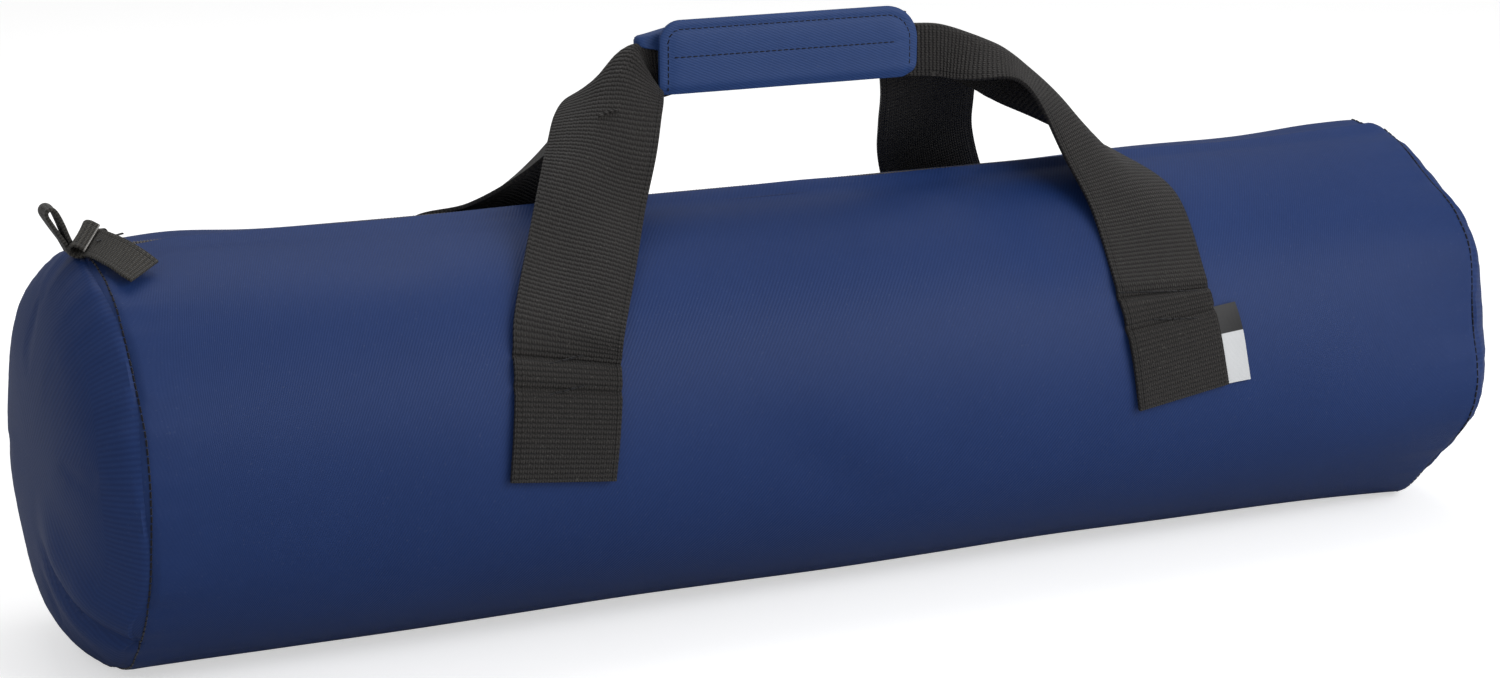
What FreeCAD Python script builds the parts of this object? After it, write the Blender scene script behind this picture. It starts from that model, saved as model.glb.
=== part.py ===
import FreeCAD, Part
import math
import os
import Sketcher
from FreeCAD import Rotation, Vector

# Telescope carry case: a padded fabric tube with a zip along its top, two webbing
# carry handles joined by a wrapped grip, a webbing zip pull and a zip end loop.
# +X runs along the tube, +Z is up, and the origin is on the ground under the middle.
# Every piece is drawn about the tube's own axis and then lifted by axis_height.

doc = FreeCAD.newDocument("TelescopeCase")
sheet = doc.addObject("Spreadsheet::Sheet", "Sizes")

SIZES = {
    # tube
    "body_radius": 95.0,
    "axis_height": 92.5,
    "half_length": 340.0,
    "end_rise": 25.0,
    "panel_thick": 1.5,
    "foam_thick": 6.0,
    "lining_thick": 1.0,
    "layer_gap": 0.2,
    "zip_slot_half": 6.0,
    "foam_slot_half": 16.0,
    "binding_width": 8.0,
    "binding_thick": 2.5,
    # zip
    "tape_half": 14.0,
    "tape_thick": 1.0,
    "coil_inner": 0.7,
    "coil_outer": 3.2,
    "coil_high": 2.0,
    "stop_length": 1.0,
    "slider_half": 5.5,
    "slider_shoulder": 5.3,
    "slider_tail": 4.4,
    "slider_plate": 1.5,
    "slider_top": 95.7,
    "slider_bottom": 91.3,
    "slider_post": 0.4,
    "bail_wire": 0.8,
    "bail_leg": 4.9,
    "bail_height": 101.4,
    "pull_width": 19.0,
    "pull_length": 37.0,
    "pull_thick": 3.0,
    "pull_neck": 3.9,
    "pull_yaw": 20.0,
    "pull_tilt": 16.0,
    "pull_eye": 1.6,
    "pull_loop": 3.6,
    "end_loop_height": 16.0,
    "end_loop_radius": 4.2,
    "end_loop_eye": 2.4,
    "end_loop_width": 12.0,
    "end_loop_lean": 25.0,
    # webbing handles
    "strap_width": 50.0,
    "strap_thick": 1.8,
    "strap_slant": 8.0,
    "strap_centre": 152.0,
    "strap_low": -5.0,
    "strap_high": 52.0,
    "strap_lift": 2.9,
    "lap_angle": 60.0,
    "leave_angle": 51.0,
    "strap_run": 118.0,
    "foot_centre": 149.0,
    "foot_shift": 9.0,
    "bow": 14.0,
    "fold_width": 26.0,
    "fold_thick": 3.6,
    "stitch_thick": 0.3,
    "stitch_width": 1.2,
    "label_width": 14.0,
    "label_height": 38.0,
    "label_thick": 0.5,
    # grip
    "grip_half": 65.0,
    "grip_centre": 160.0,
    "grip_cavity": 4.0,
    "grip_foam": 1.8,
    "grip_cover": 0.6,
    "grip_gap": 0.1,
    "flap_half": 63.0,
    "flap_height": 34.0,
    "flap_foam": 1.4,
    "flap_cover": 0.9,
    "flap_corner": 12.0,
    "flap_fold": 1.2,
    "hook_thick": 0.8,
    "hook_width": 22.0,
}

for row, (alias, value) in enumerate(SIZES.items(), start=1):
    sheet.set("A%d" % row, alias)
    sheet.set("B%d" % row, str(value))
    sheet.setAlias("B%d" % row, alias)
doc.recompute()

nodes = []


def dim(alias):
    return float(sheet.get(alias))


def value(expression):
    # a number from an expression over the sheet
    result = sheet.evalExpression(expression)
    return float(getattr(result, "Value", result))


def bind(piece, **expressions):
    for name, expression in expressions.items():
        piece.setExpression(name.replace("__", "."), expression)


def keep(piece, label, placed=True):
    # one named sub-part, lifted from the tube's axis to its place over the ground
    piece.Label = label
    if placed:
        piece.setExpression("Placement.Base.z", "Sizes.axis_height")
    nodes.append(piece)
    return piece


# ---- sketches and PartDesign bodies ----

def newBody(name):
    return doc.addObject("PartDesign::Body", name + "Body")


def sketchOn(body, role, name, offset=None):
    plane = [p for p in body.Origin.OriginFeatures if p.Role == role][0]
    sketch = body.newObject("Sketcher::SketchObject", name)
    sketch.AttachmentSupport = (plane, "")
    sketch.MapMode = "FlatFace"
    if offset is not None:
        sketch.setExpression("AttachmentOffset.Base.z", offset)
    return sketch


def outline(sketch, points, arcs=None):
    # Closed outline. Each point is (x, y, fixed): two expressions and which of them is
    # held by a dimension ("x", "y" or "xy"). arcs gives, for the edge that leaves a
    # point, its centre, its radius and whether it runs clockwise.
    arcs = arcs or {}
    first = sketch.GeometryCount
    spots = [Vector(value(p[0]), value(p[1]), 0) for p in points]
    count = len(points)
    starts = {}
    for i in range(count):
        a = spots[i]
        b = spots[(i + 1) % count]
        if i in arcs:
            cx, cy, radius, clockwise = arcs[i]
            centre = Vector(value(cx), value(cy), 0)
            angleA = math.atan2(a.y - centre.y, a.x - centre.x)
            angleB = math.atan2(b.y - centre.y, b.x - centre.x)
            if clockwise:
                angleA, angleB = angleB, angleA
            whole = Part.Circle(centre, Vector(0, 0, 1), value(radius))
            edge = sketch.addGeometry(Part.ArcOfCircle(whole, angleA, angleB), False)
            starts[i] = (edge, 2, 1) if clockwise else (edge, 1, 2)
        else:
            edge = sketch.addGeometry(Part.LineSegment(a, b), False)
            starts[i] = (edge, 1, 2)
    for i in range(count):
        edge, begin, end = starts[i]
        after = starts[(i + 1) % count]
        sketch.addConstraint(Sketcher.Constraint("Coincident", edge, end, after[0], after[1]))
    for i, (cx, cy, radius, clockwise) in arcs.items():
        edge = starts[i][0]
        hold(sketch, "DistanceX", edge, 3, cx)
        hold(sketch, "DistanceY", edge, 3, cy)
        at = sketch.addConstraint(Sketcher.Constraint("Radius", edge, value(radius)))
        sketch.setExpression("Constraints[%d]" % at, radius)
    for i, (x, y, fixed) in enumerate(points):
        edge, begin, end = starts[i]
        if "x" in fixed:
            hold(sketch, "DistanceX", edge, begin, x)
        if "y" in fixed:
            hold(sketch, "DistanceY", edge, begin, y)
    return first


def hold(sketch, kind, edge, point, expression):
    number = value(expression)
    at = sketch.addConstraint(Sketcher.Constraint(kind, -1, 1, edge, point, number))
    sketch.setExpression("Constraints[%d]" % at, expression)


def rectangle(sketch, left, right, low, high):
    points = [(left, low, "xy"), (right, low, "xy"), (right, high, "xy"), (left, high, "xy")]
    return outline(sketch, points)


def circle(sketch, x, y, radius):
    centre = Vector(value(x), value(y), 0)
    edge = sketch.addGeometry(Part.Circle(centre, Vector(0, 0, 1), value(radius)), False)
    hold(sketch, "DistanceX", edge, 3, x)
    hold(sketch, "DistanceY", edge, 3, y)
    at = sketch.addConstraint(Sketcher.Constraint("Radius", edge, value(radius)))
    sketch.setExpression("Constraints[%d]" % at, radius)


def pad(body, sketch, length, symmetric=False):
    feature = body.newObject("PartDesign::Pad", sketch.Name + "Pad")
    feature.Profile = sketch
    if symmetric:
        feature.SideType = "Symmetric"
    feature.setExpression("Length", length)
    sketch.Visibility = False
    return feature


# ---- Part primitives and booleans ----

def block(name, low, high):
    # a box between two corners, both given as expressions
    piece = doc.addObject("Part::Box", name)
    for side, a, b in zip(("Length", "Width", "Height"), low, high):
        piece.setExpression(side, "(%s) - (%s)" % (b, a))
    for axis, a in zip("xyz", low):
        piece.setExpression("Placement.Base." + axis, a)
    return piece


def rod(name, radius, halfLength):
    # a cylinder along the tube's axis
    piece = doc.addObject("Part::Cylinder", name)
    piece.Placement.Rotation = Rotation(Vector(0, 1, 0), 90)
    bind(piece, Radius=radius, Height="2 * (%s)" % halfLength)
    bind(piece, Placement__Base__x="-(%s)" % halfLength)
    return piece


def boolean(kind, name, a, b):
    piece = doc.addObject("Part::" + kind, name)
    piece.Base = a
    piece.Tool = b
    return piece


def mirrored(name, source, normal):
    piece = doc.addObject("Part::Mirroring", name)
    piece.Source = source
    piece.Normal = normal
    return piece


# ---- tube ----

def tubeWall(label, outer, outerDrop, inner, innerDrop, halfLength, slotHalf=None):
    # A wall of the tube: a ring with a flat strip at the bottom, where the case lies on
    # the ground, and a slot along the top for the zip.
    body = newBody(label)
    sketch = sketchOn(body, "YZ_Plane", label + "Section")
    rings = [(outer, outerDrop), (inner, innerDrop)]
    if slotHalf is None:
        for radius, drop in rings:
            flat = "sqrt((%s)^2 - (%s)^2)" % (radius, drop)
            points = [("-" + flat, "-(%s)" % drop, "y"), (flat, "-(%s)" % drop, "y")]
            outline(sketch, points, {1: ("0", "0", radius, False)})
    else:
        flats = ["sqrt((%s)^2 - (%s)^2)" % ring for ring in rings]
        tops = ["sqrt((%s)^2 - (%s)^2)" % (radius, slotHalf) for radius, drop in rings]
        points = [
            (slotHalf, tops[0], "x"),
            (flats[0], "-(%s)" % outerDrop, "y"),
            ("-" + flats[0], "-(%s)" % outerDrop, "y"),
            ("-(%s)" % slotHalf, tops[0], "x"),
            ("-(%s)" % slotHalf, tops[1], "x"),
            ("-" + flats[1], "-(%s)" % innerDrop, "y"),
            (flats[1], "-(%s)" % innerDrop, "y"),
            (slotHalf, tops[1], "x"),
        ]
        arcs = {
            0: ("0", "0", outer, True),
            2: ("0", "0", outer, True),
            4: ("0", "0", inner, False),
            6: ("0", "0", inner, False),
        }
        outline(sketch, points, arcs)
    pad(body, sketch, "2 * (%s)" % halfLength, symmetric=True)
    return keep(body, label)


def buildTube():
    radius = "Sizes.body_radius"
    drop = "Sizes.axis_height"
    half = "Sizes.half_length"
    depths = ["0", "Sizes.panel_thick"]
    depths.append(depths[-1] + " + Sizes.layer_gap")
    depths.append(depths[-1] + " + Sizes.foam_thick")
    depths.append(depths[-1] + " + Sizes.layer_gap")
    depths.append(depths[-1] + " + Sizes.lining_thick")
    depths.append(depths[-1] + " + Sizes.layer_gap")
    depths.append(depths[-1] + " + Sizes.binding_thick")
    radii = ["%s - (%s)" % (radius, depth) for depth in depths]
    drops = ["%s - (%s)" % (drop, depth) for depth in depths]
    inset = half + " - Sizes.layer_gap"
    tubeWall("body_panel", radii[0], drops[0], radii[1], drops[1], half, "Sizes.zip_slot_half")
    tubeWall("body_foam", radii[2], drops[2], radii[3], drops[3], inset, "Sizes.foam_slot_half")
    tubeWall("body_lining", radii[4], drops[4], radii[5], drops[5], inset, "Sizes.foam_slot_half")
    for side, name in ((-1, "left"), (1, "right")):
        label = "seam_binding_" + name
        wall = tubeWall(label, radii[6], drops[6], radii[7], drops[7], "Sizes.binding_width / 2")
        middle = "%d * (%s - Sizes.binding_width / 2 - 1)" % (side, half)
        bind(wall, Placement__Base__x=middle)


def cap(name, side, rim, rise, start, drop):
    # the part of a ball that stands past the tube's end and over the ground
    ball = doc.addObject("Part::Sphere", name + "Ball")
    radius = "((%s)^2 + (%s)^2) / (2 * (%s))" % (rim, rise, rise)
    bind(ball, Radius=radius)
    bind(ball, Placement__Base__x="%d * (%s + %s - %s)" % (side, start, rise, radius))
    near = "%s" % start if side > 0 else "-(%s) - 60" % start
    far = "%s + 60" % start if side > 0 else "-(%s)" % start
    room = block(name + "Room", (near, "-100", "-(%s)" % drop), (far, "100", "100"))
    return boolean("Common", name, ball, room)


def buildEnd(side, name):
    # outer panel, foam disc and lining disc, each a thin dome
    radius = "Sizes.body_radius"
    rise = "Sizes.end_rise"
    height = "Sizes.axis_height"
    step = "Sizes.layer_gap"
    start = "Sizes.half_length"
    depth = "0"
    crown = "0"
    for label, thick in (("end_panel", "panel_thick"), ("end_foam", "foam_thick"),
                         ("end_lining", "lining_thick")):
        if label != "end_panel":
            depth = depth + " + Sizes.layer_gap"
            start = "Sizes.half_length + " + step
            crown = "2 * " + step
        shells = []
        for face in ("Out", "In"):
            if face == "In":
                depth = depth + " + Sizes." + thick
            shells.append(cap(label + name + face, side, "%s - (%s) - %s" % (radius, depth, crown),
                              "%s - (%s) - %s" % (rise, depth, crown), start,
                              "%s - (%s)" % (height, depth)))
        shell = boolean("Cut", label + name, shells[0], shells[1])
        keep(shell, "%s_%s" % (label, name))


# ---- zip ----

def sector(label, outer, inner, near, far, halfLength):
    # a strip that lies along the top of the tube between two distances from its middle
    body = newBody(label)
    sketch = sketchOn(body, "YZ_Plane", label + "Section")
    sign = "-" if near.startswith("-") else ""
    near = near.lstrip("-")
    far = far.lstrip("-")

    def spot(radius, across):
        return (sign + across, "sqrt((%s)^2 - (%s)^2)" % (radius, across), "x")

    points = [spot(outer, near), spot(outer, far), spot(inner, far), spot(inner, near)]
    turns = sign == ""
    arcs = {0: ("0", "0", outer, turns), 2: ("0", "0", inner, not turns)}
    outline(sketch, points, arcs)
    pad(body, sketch, "2 * (%s)" % halfLength, symmetric=True)
    return keep(body, label)


def buildZip():
    tapeTop = "Sizes.body_radius - Sizes.panel_thick - Sizes.layer_gap"
    tapeLow = tapeTop + " - Sizes.tape_thick"
    half = "Sizes.half_length - Sizes.layer_gap"
    coilHalf = half + " - Sizes.stop_length - 0.1"
    for side, name in (("-", "front"), ("", "back")):
        sector("zipper_tape_" + name, tapeTop, tapeLow, side + "Sizes.coil_inner",
               side + "Sizes.tape_half", half)
        sector("zipper_coil_" + name, tapeTop + " + Sizes.coil_high", tapeTop,
               side + "Sizes.coil_inner", side + "Sizes.coil_outer", coilHalf)
    stops = []
    for side, name in ((-1, "Left"), (1, "Right")):
        near = "%d * (%s) - (%s)" % (side, half, "0" if side < 0 else "Sizes.stop_length")
        far = "%s + Sizes.stop_length" % near
        low = (near, "-Sizes.coil_outer", tapeTop + " + 0.1")
        high = (far, "Sizes.coil_outer", tapeTop + " + Sizes.coil_high + 0.3")
        stops.append(block("ZipStop" + name, low, high))
    pair = doc.addObject("Part::Compound", "ZipStops")
    pair.Links = stops
    keep(pair, "zipper_end_stops")


def buildSlider():
    # Two plates with a post between them, which runs in the gap between the coils, and
    # two flanges that keep the coils together.
    body = newBody("zip_slider_body")
    tail = "Sizes.slider_half"
    plate = sketchOn(body, "XY_Plane", "SliderTopOutline", "Sizes.slider_top")
    corners = [
        ("-" + tail, "-Sizes.slider_shoulder + 1.5"),
        ("-" + tail + " + 1.5", "-Sizes.slider_shoulder"),
        ("0", "-Sizes.slider_shoulder"),
        (tail, "-Sizes.slider_tail"),
        (tail, "Sizes.slider_tail"),
        ("0", "Sizes.slider_shoulder"),
        ("-" + tail + " + 1.5", "Sizes.slider_shoulder"),
        ("-" + tail, "Sizes.slider_shoulder - 1.5"),
    ]
    outline(plate, [(x, y, "xy") for x, y in corners])
    pad(body, plate, "Sizes.slider_plate")
    flangeDrop = "1.5"
    for sign, name in (("-", "Front"), ("", "Back")):
        flange = sketchOn(body, "XY_Plane", "SliderFlange" + name, "Sizes.slider_top - " + flangeDrop)
        low, high = "3.8", "4.3"
        if sign:
            low, high = "-4.3", "-3.8"
        rectangle(flange, "-" + tail + " + 0.5", tail + " - 0.5", low, high)
        pad(body, flange, flangeDrop)
    post = sketchOn(body, "XY_Plane", "SliderPostOutline", "Sizes.slider_bottom")
    rectangle(post, "-" + tail + " + 1", "0", "-Sizes.slider_post", "Sizes.slider_post")
    pad(body, post, "Sizes.slider_top - Sizes.slider_bottom")
    lower = sketchOn(body, "XY_Plane", "SliderLowOutline", "Sizes.slider_bottom - Sizes.slider_plate")
    outline(lower, [(x, y, "xy") for x, y in corners])
    pad(body, lower, "Sizes.slider_plate")
    keep(body, "zip_slider_body")
    bind(body, Placement__Base__x="-(%s)" % SLIDER_REST)


def buildBail():
    # a wire arch over the slider's top plate; the pull is looped round its bar
    body = newBody("zip_slider_bail")
    top = "Sizes.slider_top + Sizes.slider_plate"
    arch = sketchOn(body, "XZ_Plane", "BailOutline")
    outer = "Sizes.bail_leg + Sizes.bail_wire / 2"
    inner = "Sizes.bail_leg - Sizes.bail_wire / 2"
    high = "Sizes.bail_height + Sizes.bail_wire"
    under = "Sizes.bail_height - Sizes.bail_wire"
    points = [
        ("-(%s)" % outer, top), ("-(%s)" % inner, top), ("-(%s)" % inner, under), (inner, under),
        (inner, top), (outer, top), (outer, high + " - 1"), (inner, high),
        ("-(%s)" % inner, high), ("-(%s)" % outer, high + " - 1"),
    ]
    outline(arch, [(x, y, "xy") for x, y in points])
    pad(body, arch, "2 * Sizes.bail_wire", symmetric=True)
    keep(body, "zip_slider_bail")
    bind(body, Placement__Base__x="-(%s)" % SLIDER_REST)


def pullPoint(along, across):
    # a spot on the pull, whose middle line is yawed from -Y towards +X
    turn = "Sizes.pull_yaw * 1deg"
    x = "(%s) * sin(%s) + (%s) * cos(%s)" % (along, turn, across, turn)
    y = "-(%s) * cos(%s) + (%s) * sin(%s)" % (along, turn, across, turn)
    return (x, y, "xy")


def buildPull():
    # A webbing tab: a loop round the bail's bar and two sewn layers that lie on the tube.
    # The body's own origin is on the bar.
    body = newBody("pull_tab")
    ring = sketchOn(body, "YZ_Plane", "PullLoop")
    for radius in ("Sizes.pull_loop", "Sizes.pull_eye"):
        circle(ring, "0", "0", radius)
    pad(body, ring, "2 * Sizes.pull_neck", symmetric=True)
    tab = sketchOn(body, "XY_Plane", "PullOutline", "-Sizes.pull_thick / 2")
    half = "Sizes.pull_width / 2"
    points = [
        ("-Sizes.pull_neck", "-Sizes.pull_eye - 0.8", "xy"),
        pullPoint("9", "-" + half),
        pullPoint("Sizes.pull_length", "-" + half),
        pullPoint("Sizes.pull_length", half),
        pullPoint("9", half),
        ("Sizes.pull_neck", "-Sizes.pull_eye - 0.8", "xy"),
    ]
    outline(tab, points)
    pad(body, tab, "Sizes.pull_thick")
    placePull(body)
    keep(body, "pull_tab", placed=False)
    tack = newBody("pull_tab_stitches")
    row = sketchOn(tack, "XY_Plane", "PullTack", "Sizes.pull_thick / 2 + 0.05")
    points = [pullPoint("10", "-7"), pullPoint("11.2", "-7"), pullPoint("11.2", "7"), pullPoint("10", "7")]
    outline(row, points)
    pad(tack, row, "Sizes.stitch_thick")
    placePull(tack)
    keep(tack, "pull_tab_stitches", placed=False)


def placePull(body):
    body.Placement.Rotation = Rotation(Vector(1, 0, 0), dim("pull_tilt"))
    bind(body, Placement__Base__x="-(%s)" % SLIDER_REST)
    bind(body, Placement__Base__z="Sizes.axis_height + Sizes.bail_height")


def buildEndLoop():
    # narrow webbing folded to an eye and caught in the end seam; its own origin is the fold
    body = newBody("zip_end_loop")
    sketch = sketchOn(body, "XZ_Plane", "EndLoopSection")
    top = "Sizes.end_loop_height"
    radius = "Sizes.end_loop_radius"
    eye = "Sizes.end_loop_eye"
    outer = [("-1.5", "0.4", "xy"), ("1.5", "0.4", "xy"), (radius, top, "y"), ("-" + radius, top, "y")]
    outline(sketch, outer, {2: ("0", top, radius, False)})
    inner = [("0", "6", "xy"), (eye, top, "y"), ("-" + eye, top, "y")]
    outline(sketch, inner, {1: ("0", top, eye, False)})
    pad(body, sketch, "Sizes.end_loop_width", symmetric=True)
    body.Placement.Rotation = Rotation(Vector(0, 1, 0), -dim("end_loop_lean"))
    bind(body, Placement__Base__x="-Sizes.half_length - 3")
    bind(body, Placement__Base__z="Sizes.axis_height + Sizes.body_radius + 0.3")
    keep(body, "zip_end_loop", placed=False)


# ---- webbing handles ----

def skin(name, inner, outer):
    # a thin ring round the whole tube, cut to pieces by the strips that use it
    return boolean("Cut", name, rod(name + "Out", outer, "260"), rod(name + "In", inner, "270"))


def strip(name, width, low, high):
    # an upright block in front of the tube, as wide as the strap and slanted like it
    centre = "Sizes.strap_centre"
    piece = doc.addObject("Part::Box", name)
    bind(piece, Length=width, Width="110", Height="(%s) - (%s)" % (high, low))
    piece.Placement.Rotation = Rotation(Vector(0, 1, 0), dim("strap_slant"))
    lean = "Sizes.strap_slant * 1deg"
    bind(piece, Placement__Base__x="-%s - (%s) / 2 * cos(%s) + (%s) * sin(%s)"
         % (centre, width, lean, low, lean))
    bind(piece, Placement__Base__y="-112")
    bind(piece, Placement__Base__z="(%s) * cos(%s) + (%s) / 2 * sin(%s)" % (low, lean, width, lean))
    return piece


def fourWays(piece):
    # front left, front right, back left and back right copies of one front left piece;
    # the front right one stands further out, and the back pair is the front pair turned
    # half round
    right = mirrored(piece.Name + "Right", piece, Vector(1, 0, 0))
    bind(right, Base__x="Sizes.foot_shift / 2")
    copies = [piece, right]
    for source in (right, piece):
        turned = mirrored(source.Name + "Turned", source, Vector(1, 0, 0))
        copies.append(mirrored(source.Name + "Back", turned, Vector(0, 1, 0)))
    return copies


def buildStrapEnds():
    low = "Sizes.body_radius + Sizes.layer_gap"
    high = low + " + Sizes.strap_thick"
    ring = skin("StrapSkin", low, high)
    sewn = strip("StrapEndRoom", "Sizes.strap_width", "Sizes.strap_low", "Sizes.strap_high")
    end = boolean("Common", "StrapEnd", ring, sewn)
    labels = ["front_strap_left_end", "front_strap_right_end", "back_strap_left_end",
              "back_strap_right_end"]
    for copy, label in zip(fourWays(end), labels):
        keep(copy, label, placed=copy is end)
    thread = skin("StitchSkin", high + " + 0.05", high + " + 0.05 + Sizes.stitch_thick")
    rows = []
    for row, place in enumerate((34.0, 43.0)):
        room = strip("StitchRoom%d" % row, "Sizes.strap_width - 4", str(place),
                     "%s + Sizes.stitch_width" % place)
        rows += fourWays(boolean("Common", "StitchRow%d" % row, thread, room))
    together = doc.addObject("Part::Compound", "StitchRows")
    together.Links = rows
    keep(together, "strap_stitches")


def buildLabel():
    # a folded tag that stands out past the outer edge of the front right strap end
    low = "Sizes.body_radius + Sizes.layer_gap"
    ring = skin("LabelSkin", low, low + " + Sizes.label_thick")
    room = doc.addObject("Part::Box", "LabelRoom")
    lean = "Sizes.strap_slant * 1deg"
    bind(room, Length="Sizes.label_width", Width="110", Height="Sizes.label_height")
    room.Placement.Rotation = Rotation(Vector(0, 1, 0), -dim("strap_slant"))
    bind(room, Placement__Base__x="Sizes.strap_centre + Sizes.foot_shift"
         " + (Sizes.strap_width / 2 + 0.3) * cos(%s)"
         " - (Sizes.strap_low + 0.5) * sin(%s)" % (lean, lean))
    bind(room, Placement__Base__y="-112")
    bind(room, Placement__Base__z="(Sizes.strap_low + 0.5) * cos(%s)"
         " + (Sizes.strap_width / 2 + 0.3) * sin(%s)" % (lean, lean))
    keep(boolean("Common", "SideLabel", ring, room), "side_label")


def freeSketch(name, rotation):
    sketch = doc.addObject("Sketcher::SketchObject", name)
    sketch.Placement.Rotation = rotation
    return sketch


def extrude(name, sketch, direction, length, symmetric=False):
    piece = doc.addObject("Part::Extrusion", name)
    piece.Base = sketch
    piece.DirMode = "Custom"
    piece.Dir = direction
    piece.Solid = True
    piece.Symmetric = symmetric
    bind(piece, LengthFwd=length)
    return piece


def buildHandles():
    # The free part of a handle: a band that lies round the tube from its sewn ends up to
    # where it leaves the tube, runs straight to the grip, and passes through it folded.
    # Its right leg bows outwards. The back handle is the front one turned half round.
    inner = "Sizes.body_radius + Sizes.strap_lift"
    outer = inner + " + Sizes.strap_thick"
    lap = "Sizes.lap_angle * 1deg"
    leave = "Sizes.leave_angle * 1deg"
    run = "Sizes.strap_run"

    def onTube(radius, angle):
        return ("-(%s) * sin(%s)" % (radius, angle), "(%s) * cos(%s)" % (radius, angle))

    def risen(radius):
        y, z = onTube(radius, leave)
        return ("%s + %s * cos(%s)" % (y, run, leave), "%s + %s * sin(%s)" % (z, run, leave))

    band = freeSketch("HandleSection", Rotation(Vector(1, 1, 1), 120))
    path = [onTube(inner, lap), onTube(inner, leave), risen(inner), risen(outer),
            onTube(outer, leave), onTube(outer, lap)]
    fixed = ["x", "x", "xy", "xy", "x", "x"]
    points = [(y, z, held) for (y, z), held in zip(path, fixed)]
    outline(band, points, {0: ("0", "0", inner, True), 4: ("0", "0", outer, False)})
    sheetBand = extrude("HandleBand", band, Vector(1, 0, 0), "400", symmetric=True)
    arch = freeSketch("HandleFront", Rotation(Vector(1, 0, 0), 90))
    low = "Sizes.strap_low + 40"
    bottom = "Sizes.grip_centre - Sizes.fold_width / 2 - 4"
    foot = "Sizes.foot_centre"
    half = "Sizes.strap_width / 2"
    left = [
        ("-%s - %s" % (foot, half), low),
        ("-%s + %s" % (foot, half), low),
        ("-Sizes.grip_half - 3", bottom),
        ("-Sizes.grip_half - 1", bottom + " + 16"),
        ("-Sizes.grip_half - 17", bottom + " + 16"),
        ("-Sizes.grip_half - 57", bottom),
    ]
    outline(arch, [(x, z, "xy") for x, z in left])
    bow = "Sizes.bow"
    right = [
        ("%s - %s + 6" % (foot, half), low),
        ("%s + %s + 8" % (foot, half), low),
        ("%s + %s + 8" % (foot, half), bottom + " - 65"),
        ("%s + %s - 8" % (foot, half), bottom + " - 35"),
        ("Sizes.grip_half + 57 + " + bow, bottom + " - 3"),
        ("Sizes.grip_half + 17 + %s / 2" % bow, bottom + " + 16"),
        ("Sizes.grip_half + 1", bottom + " + 16"),
        ("Sizes.grip_half + 3", bottom),
        ("%s - 16" % foot, bottom + " - 16"),
        ("%s - 10" % foot, bottom + " - 45"),
    ]
    outline(arch, [(x, z, "xy") for x, z in right])
    legsRoom = extrude("HandleRoom", arch, Vector(0, -1, 0), "120")
    legs = boolean("Common", "HandleLegs", sheetBand, legsRoom)
    fold = block("HandleFold", ("-Sizes.grip_half - 12", "-Sizes.fold_thick - 0.2",
                                "Sizes.grip_centre - Sizes.fold_width / 2"),
                 ("Sizes.grip_half + 12", "-0.2", "Sizes.grip_centre + Sizes.fold_width / 2"))
    strap = boolean("Fuse", "FrontHandle", legs, fold)
    keep(strap, "front_handle_strap")
    turned = mirrored("HandleTurned", strap, Vector(1, 0, 0))
    keep(mirrored("BackHandle", turned, Vector(0, 1, 0)), "back_handle_strap", placed=False)


# ---- grip ----

def wrapLayer(label, inset, thick, innerCut):
    # A C-shaped layer round both folded straps, open by a narrow gap low on the front.
    body = newBody(label)
    sketch = sketchOn(body, "YZ_Plane", label + "Section")
    reach = "Sizes.grip_cavity + Sizes.grip_gap + %s" % inset
    tall = "Sizes.fold_width / 2 + 0.5 + Sizes.grip_gap + %s" % inset
    middle = "Sizes.grip_centre"

    def ring(y, z, gap, cut):
        # from above the gap round the top, the back and the bottom to below the gap
        return [
            ("-(%s)" % y, gap),
            ("-(%s)" % y, "%s + %s - %s" % (middle, z, cut)),
            ("-(%s) + %s" % (y, cut), "%s + %s" % (middle, z)),
            ("%s - %s" % (y, cut), "%s + %s" % (middle, z)),
            (y, "%s + %s - %s" % (middle, z, cut)),
            (y, "%s - (%s) + %s" % (middle, z, cut)),
            ("%s - %s" % (y, cut), "%s - (%s)" % (middle, z)),
            ("-(%s) + %s" % (y, cut), "%s - (%s)" % (middle, z)),
            ("-(%s)" % y, "%s - (%s) + %s" % (middle, z, cut)),
        ]

    gapTop = middle + " - 7"
    gapLow = middle + " - 10"
    outside = ring(reach + " + " + thick, tall + " + " + thick, gapTop, "2")
    outside.append(("-(%s + %s)" % (reach, thick), gapLow))
    inside = ring(reach, tall, gapTop, innerCut)
    inside.append(("-(%s)" % reach, gapLow))
    points = outside + inside[::-1]
    outline(sketch, [(y, z, "xy") for y, z in points])
    pad(body, sketch, "2 * Sizes.grip_half", symmetric=True)
    return keep(body, label)


def slab(label, near, thick, halfWidth, low, high, corner=None):
    # an upright flat layer in front of the grip, from a distance in front of its middle
    body = newBody(label)
    sketch = sketchOn(body, "XZ_Plane", label + "Outline", near)
    rectangle(sketch, "-(%s)" % halfWidth, halfWidth, low, high)
    base = pad(body, sketch, thick)
    if corner:
        doc.recompute()
        top = value(high)
        names = []
        for number, edge in enumerate(base.Shape.Edges, start=1):
            ends = [v.Point for v in edge.Vertexes]
            across = abs(ends[0].y - ends[1].y) > 0.1
            if across and min(p.z for p in ends) > top - 0.1:
                names.append("Edge%d" % number)
        rounding = body.newObject("PartDesign::Fillet", label + "Corners")
        rounding.Base = (base, names)
        bind(rounding, Radius=corner)
    return keep(body, label)


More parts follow.
